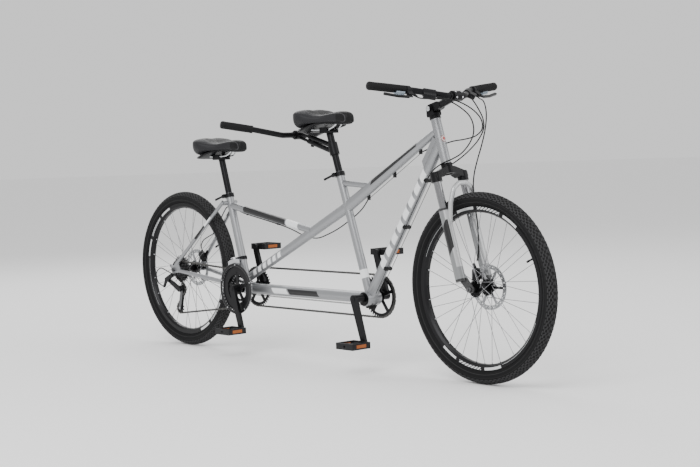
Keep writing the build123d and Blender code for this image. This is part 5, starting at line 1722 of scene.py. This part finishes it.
@dataclass
class Trims:
    """Bolts, adjusters, displays and the head badge."""

    maker: Maker

    def build(self) -> None:
        """Builds them all."""
        for row in self.rows():
            bm = bmesh.new()
            for place, axis in row.spots:
                self.bolt(bm, place, axis.normalized(), row.radius * MM, row.height * MM)
            self.maker.piece(row.name, bm, row.finish, row.body, row.slot, bevel=0.0002)
        self.displays()
        self.adjusters()
        self.badge()

    def rows(self) -> list[Bolts]:
        """Sets out every row of bolts.

        Returns:
            The rows.
        """
        sides = (1.0, -1.0)
        clamp = []
        for lift in (-0.55, 0.55):
            out = FORK_FORWARD * math.cos(lift) + STEER_AXIS * math.sin(lift)
            clamp += [(BAR_CLAMP + out * 0.0183 + LEFT * side * 0.014, out) for side in sides]
        guard = []
        for index in range(5):
            angle = math.tau * index / 5 + 0.3
            guard.append((Vector((STOKER_BRACKET_X + 0.099 * math.cos(angle), -0.0684,
                                  BRACKET_Z + 0.099 * math.sin(angle))), -LEFT))
        cage = [(Vector((x, -0.0579, z)), -LEFT) for x, z in (UPPER_JOCKEY, LOWER_JOCKEY)]
        pivot = tuple((fork_point(0.0, side * 25.0, 122.0), LEFT * side) for side in sides)
        rows = [Bolts("stem_pivot_bolts", "steering", "polished_steel", POLISHED_STEEL, 8.4,
                      2.2, pivot),
                Bolts("bar_clamp_bolts", "handlebar", "polished_steel", POLISHED_STEEL, 3.6,
                      2.4, tuple(clamp)),
                Bolts("guard_bolts", "stoker_crank", "polished_steel", SILVER_ALLOY, 3.0, 1.2,
                      tuple(guard)),
                Bolts("jockey_bolts", "derailleur_cage", "polished_steel", SILVER_ALLOY, 4.2,
                      1.4, tuple(cage))]
        for rider, x in ((Rider.CAPTAIN, CAPTAIN_BRACKET_X), (Rider.STOKER, STOKER_BRACKET_X)):
            caps = tuple((Vector((x, side * 0.0883, BRACKET_Z)), LEFT * side)
                         for side in sides)
            rows.append(Bolts(f"{rider}_crank_caps", f"{rider}_crank", "black_plastic",
                              BLACK_PLASTIC, 9.2, 1.8, caps))
        return rows

    def bolt(self, bm: bmesh.types.BMesh, place: Vector, axis: Vector, radius: float,
             height: float) -> None:
        """Adds a turned bolt head with a socket sunk in it.

        Args:
            bm: the mesh to add to.
            place: the middle of its seat.
            axis: the way it faces.
            radius: the head's radius.
            height: the head's height.
        """
        profile = ((0.0, 0.35 * height), (0.5 * radius, 0.35 * height), (0.5 * radius, height),
                   (0.84 * radius, height), (radius, 0.75 * height), (radius, -0.0004),
                   (0.0, -0.0004))
        spot = facing(place, axis)
        points = [spot @ Vector((across, 0.0, up)) for across, up in profile]
        self.maker.spin(bm, points, place, axis, 18, closed=False)

    def displays(self) -> None:
        """The gear window on top of each shifter."""
        dip = math.radians(30)
        for side in Side:
            bend = BAR_CLAMP + side.mirror(BAR_BEND)
            along = side.mirror(Vector((-0.039, 0.173, 0.018))).normalized()
            ahead = Vector((math.cos(dip), 0.0, -math.sin(dip)))
            ahead = (ahead - along * ahead.dot(along)).normalized()
            up = ahead.cross(-along) * side.value
            turn = Matrix((ahead, -along, up)).transposed()
            bm = bmesh.new()
            place = bend + along * 0.066 + ahead * 0.015
            self.maker.block(bm, place + up * 0.0092, (0.024, 0.034, 0.0014), turn)
            self.maker.block(bm, place + ahead * 0.01652, (0.0010, 0.034, 0.0125), turn)
            self.maker.piece(f"shifter_window_{side.word}", bm, DISPLAY_FACE, "handlebar",
                             "black_plastic", smooth=False, bevel=0.0006)

    def adjusters(self) -> None:
        """The threaded barrels where cables enter the controls."""
        bm = bmesh.new()
        for side in (1.0, -1.0):
            lever = (Vector((0.727, side * 0.155, 1.011)), Vector((0.752, side * 0.146, 0.997)))
            shifter = (Vector((0.771, side * 0.086, 1.0006)),
                       Vector((0.790, side * 0.067, 0.992)))
            for (start, end), radius in ((lever, 0.0044), (shifter, 0.0040)):
                way = (end - start).normalized()
                for step in range(4):
                    low = start + way * (0.0035 * step)
                    self.maker.cylinder(bm, low, low + way * 0.0026, radius, 14)
                self.maker.cylinder(bm, start, start + way * 0.017, radius * 0.75, 14)
        self.maker.piece("cable_adjusters", bm, BLACK_PLASTIC, "handlebar", "black_plastic",
                         bevel=0.0002)

    def badge(self) -> None:
        """A thin round badge that follows the front of the head tube."""
        tube = 18.25
        bm = bmesh.new()
        bmesh.ops.create_circle(bm, cap_ends=True, segments=32, radius=12.0)
        bmesh.ops.poke(bm, faces=bm.faces[:])
        bmesh.ops.subdivide_edges(bm, edges=bm.edges[:], cuts=3, use_grid_fill=True)
        for vert in bm.verts:
            angle = vert.co.x / tube
            vert.co = fork_point(tube * math.cos(angle), tube * math.sin(angle),
                                 6.0 + vert.co.y)
        top = bmesh.ops.extrude_face_region(bm, geom=bm.faces[:])["geom"]
        bmesh.ops.translate(bm, verts=only_verts(top), vec=FORK_FORWARD * 0.0009)
        self.maker.piece("head_badge", bm, Badge(fork_point(19.0, 0.0, 6.0)), "frame",
                         "silver_paint")


BAR_LINK = ("handlebar", "steering")
HEAD_LINK = ("steering", "frame")
FORK_LINK = ("steering", "fork_lowers")
HOSES = (
    ("right_shift_cable", "bar_to_frame_cables",
     ((771, -86, 1000.6), (790, -66, 992), (812, -48, 978), (838, -32, 957), (866, -26, 932),
      (882, -25, 902), (882, -25, 868), (860, -25, 834), (822, -25, 803), (776, -25, 784),
      (728, -24.5, 770), (690, -24, 752), (662, -20, 733), (640, -14, 714)),
     6, BAR_LINK, HEAD_LINK),
    ("rear_brake_cable", "bar_to_frame_cables",
     ((727, -155, 1011), (752, -146, 997), (796, -108, 993), (832, -60, 986), (864, -16, 958),
      (881, 14, 922), (876, 26, 886), (842, 28, 862), (790, 28, 852), (738, 26, 847),
      (690, 24, 838), (640, 19, 828), (604, 3, 813)), 6, BAR_LINK, HEAD_LINK),
    ("left_shift_cable", "bar_to_frame_cables",
     ((771, 86, 1000.6), (790, 70, 992), (812, 58, 980), (842, 48, 953), (868, 40, 920),
      (873, 36, 885), (850, 33, 848), (812, 31, 816), (774, 29, 791), (735, 26, 770),
      (696, 24, 754), (664, 20, 734), (640, 14, 714)), 5, BAR_LINK, HEAD_LINK),
    ("front_brake_cable", "front_brake_cable",
     ((727, 155, 1011), (752, 146, 997), (796, 120, 986), (826, 100, 960), (841, 86, 924),
      (844, 74, 880), (836, 64, 830), (822, 56, 780), (812, 47, 728), (812, 41, 676),
      (818, 41, 620), (826, 42, 560), (828, 43.5, 504), (824, 44, 452), (817, 43.5, 424)),
     5, BAR_LINK, FORK_LINK))


def main() -> None:
    """Builds every sub-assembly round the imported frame."""
    logging.basicConfig(level=logging.INFO, format="%(name)s: %(message)s")
    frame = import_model()
    Studio().build()
    maker = Maker(Finishes())
    dressing = FrameDressing(maker)
    dressing.paint(frame)
    dressing.dress_rest(frame)
    Pedals(maker).build(frame)
    Wheel(maker, End.FRONT, FRONT_AXLE_X, 0.039, (0.028, -0.032), 0.876).build(frame)
    Wheel(maker, End.REAR, REAR_AXLE_X, 0.052, (0.034, -0.022), 1.94).build(frame)
    timing, jockey = pitch_radius(40), pitch_radius(11)
    RollerChain(maker, "timing_chain_links", 0.050, (
        Pulley(CAPTAIN_BRACKET_X, BRACKET_Z, timing, 1),
        Pulley(STOKER_BRACKET_X, BRACKET_Z, timing, 1))).build(
            "timing_chain", {"frame": (0, 1)})
    RollerChain(maker, "drive_chain_links", -0.052, (
        Pulley(STOKER_BRACKET_X, BRACKET_Z, pitch_radius(38), 1),
        Pulley(REAR_AXLE_X, AXLE_Z, pitch_radius(18), 1),
        Pulley(*UPPER_JOCKEY, jockey, -1),
        Pulley(*LOWER_JOCKEY, jockey, 1))).build(
            "drive_chain", {"frame": (0, 1), "derailleur_cage": (2,),
                            "frame+derailleur_cage": (3,)})
    Saddle(maker, Rider.CAPTAIN, 0.0706, 0.983).build()
    Saddle(maker, Rider.STOKER, -0.6000, 0.892).build()
    for hose in HOSES:
        Hose(maker, *hose).build()
    ForkSprings(maker).build()
    Trims(maker).build()
    tip = Vector((BAR_CLAMP.x - 0.109, 0.313, BAR_CLAMP.z + 0.040))
    Bar(maker, Rider.CAPTAIN, "handlebar", BAR_CLAMP + BAR_BEND, tip,
        0.145).grips("handlebar_grips")
    middle = Vector((-0.083, 0.0, 0.893))
    Bar(maker, Rider.STOKER, "stoker_bars", middle + Vector((-0.047, 0.190, 0.025)),
        middle + Vector((-0.088, 0.312, 0.047)), 0.126).grips("stoker_grips")


if __name__ == "__main__":
    main()
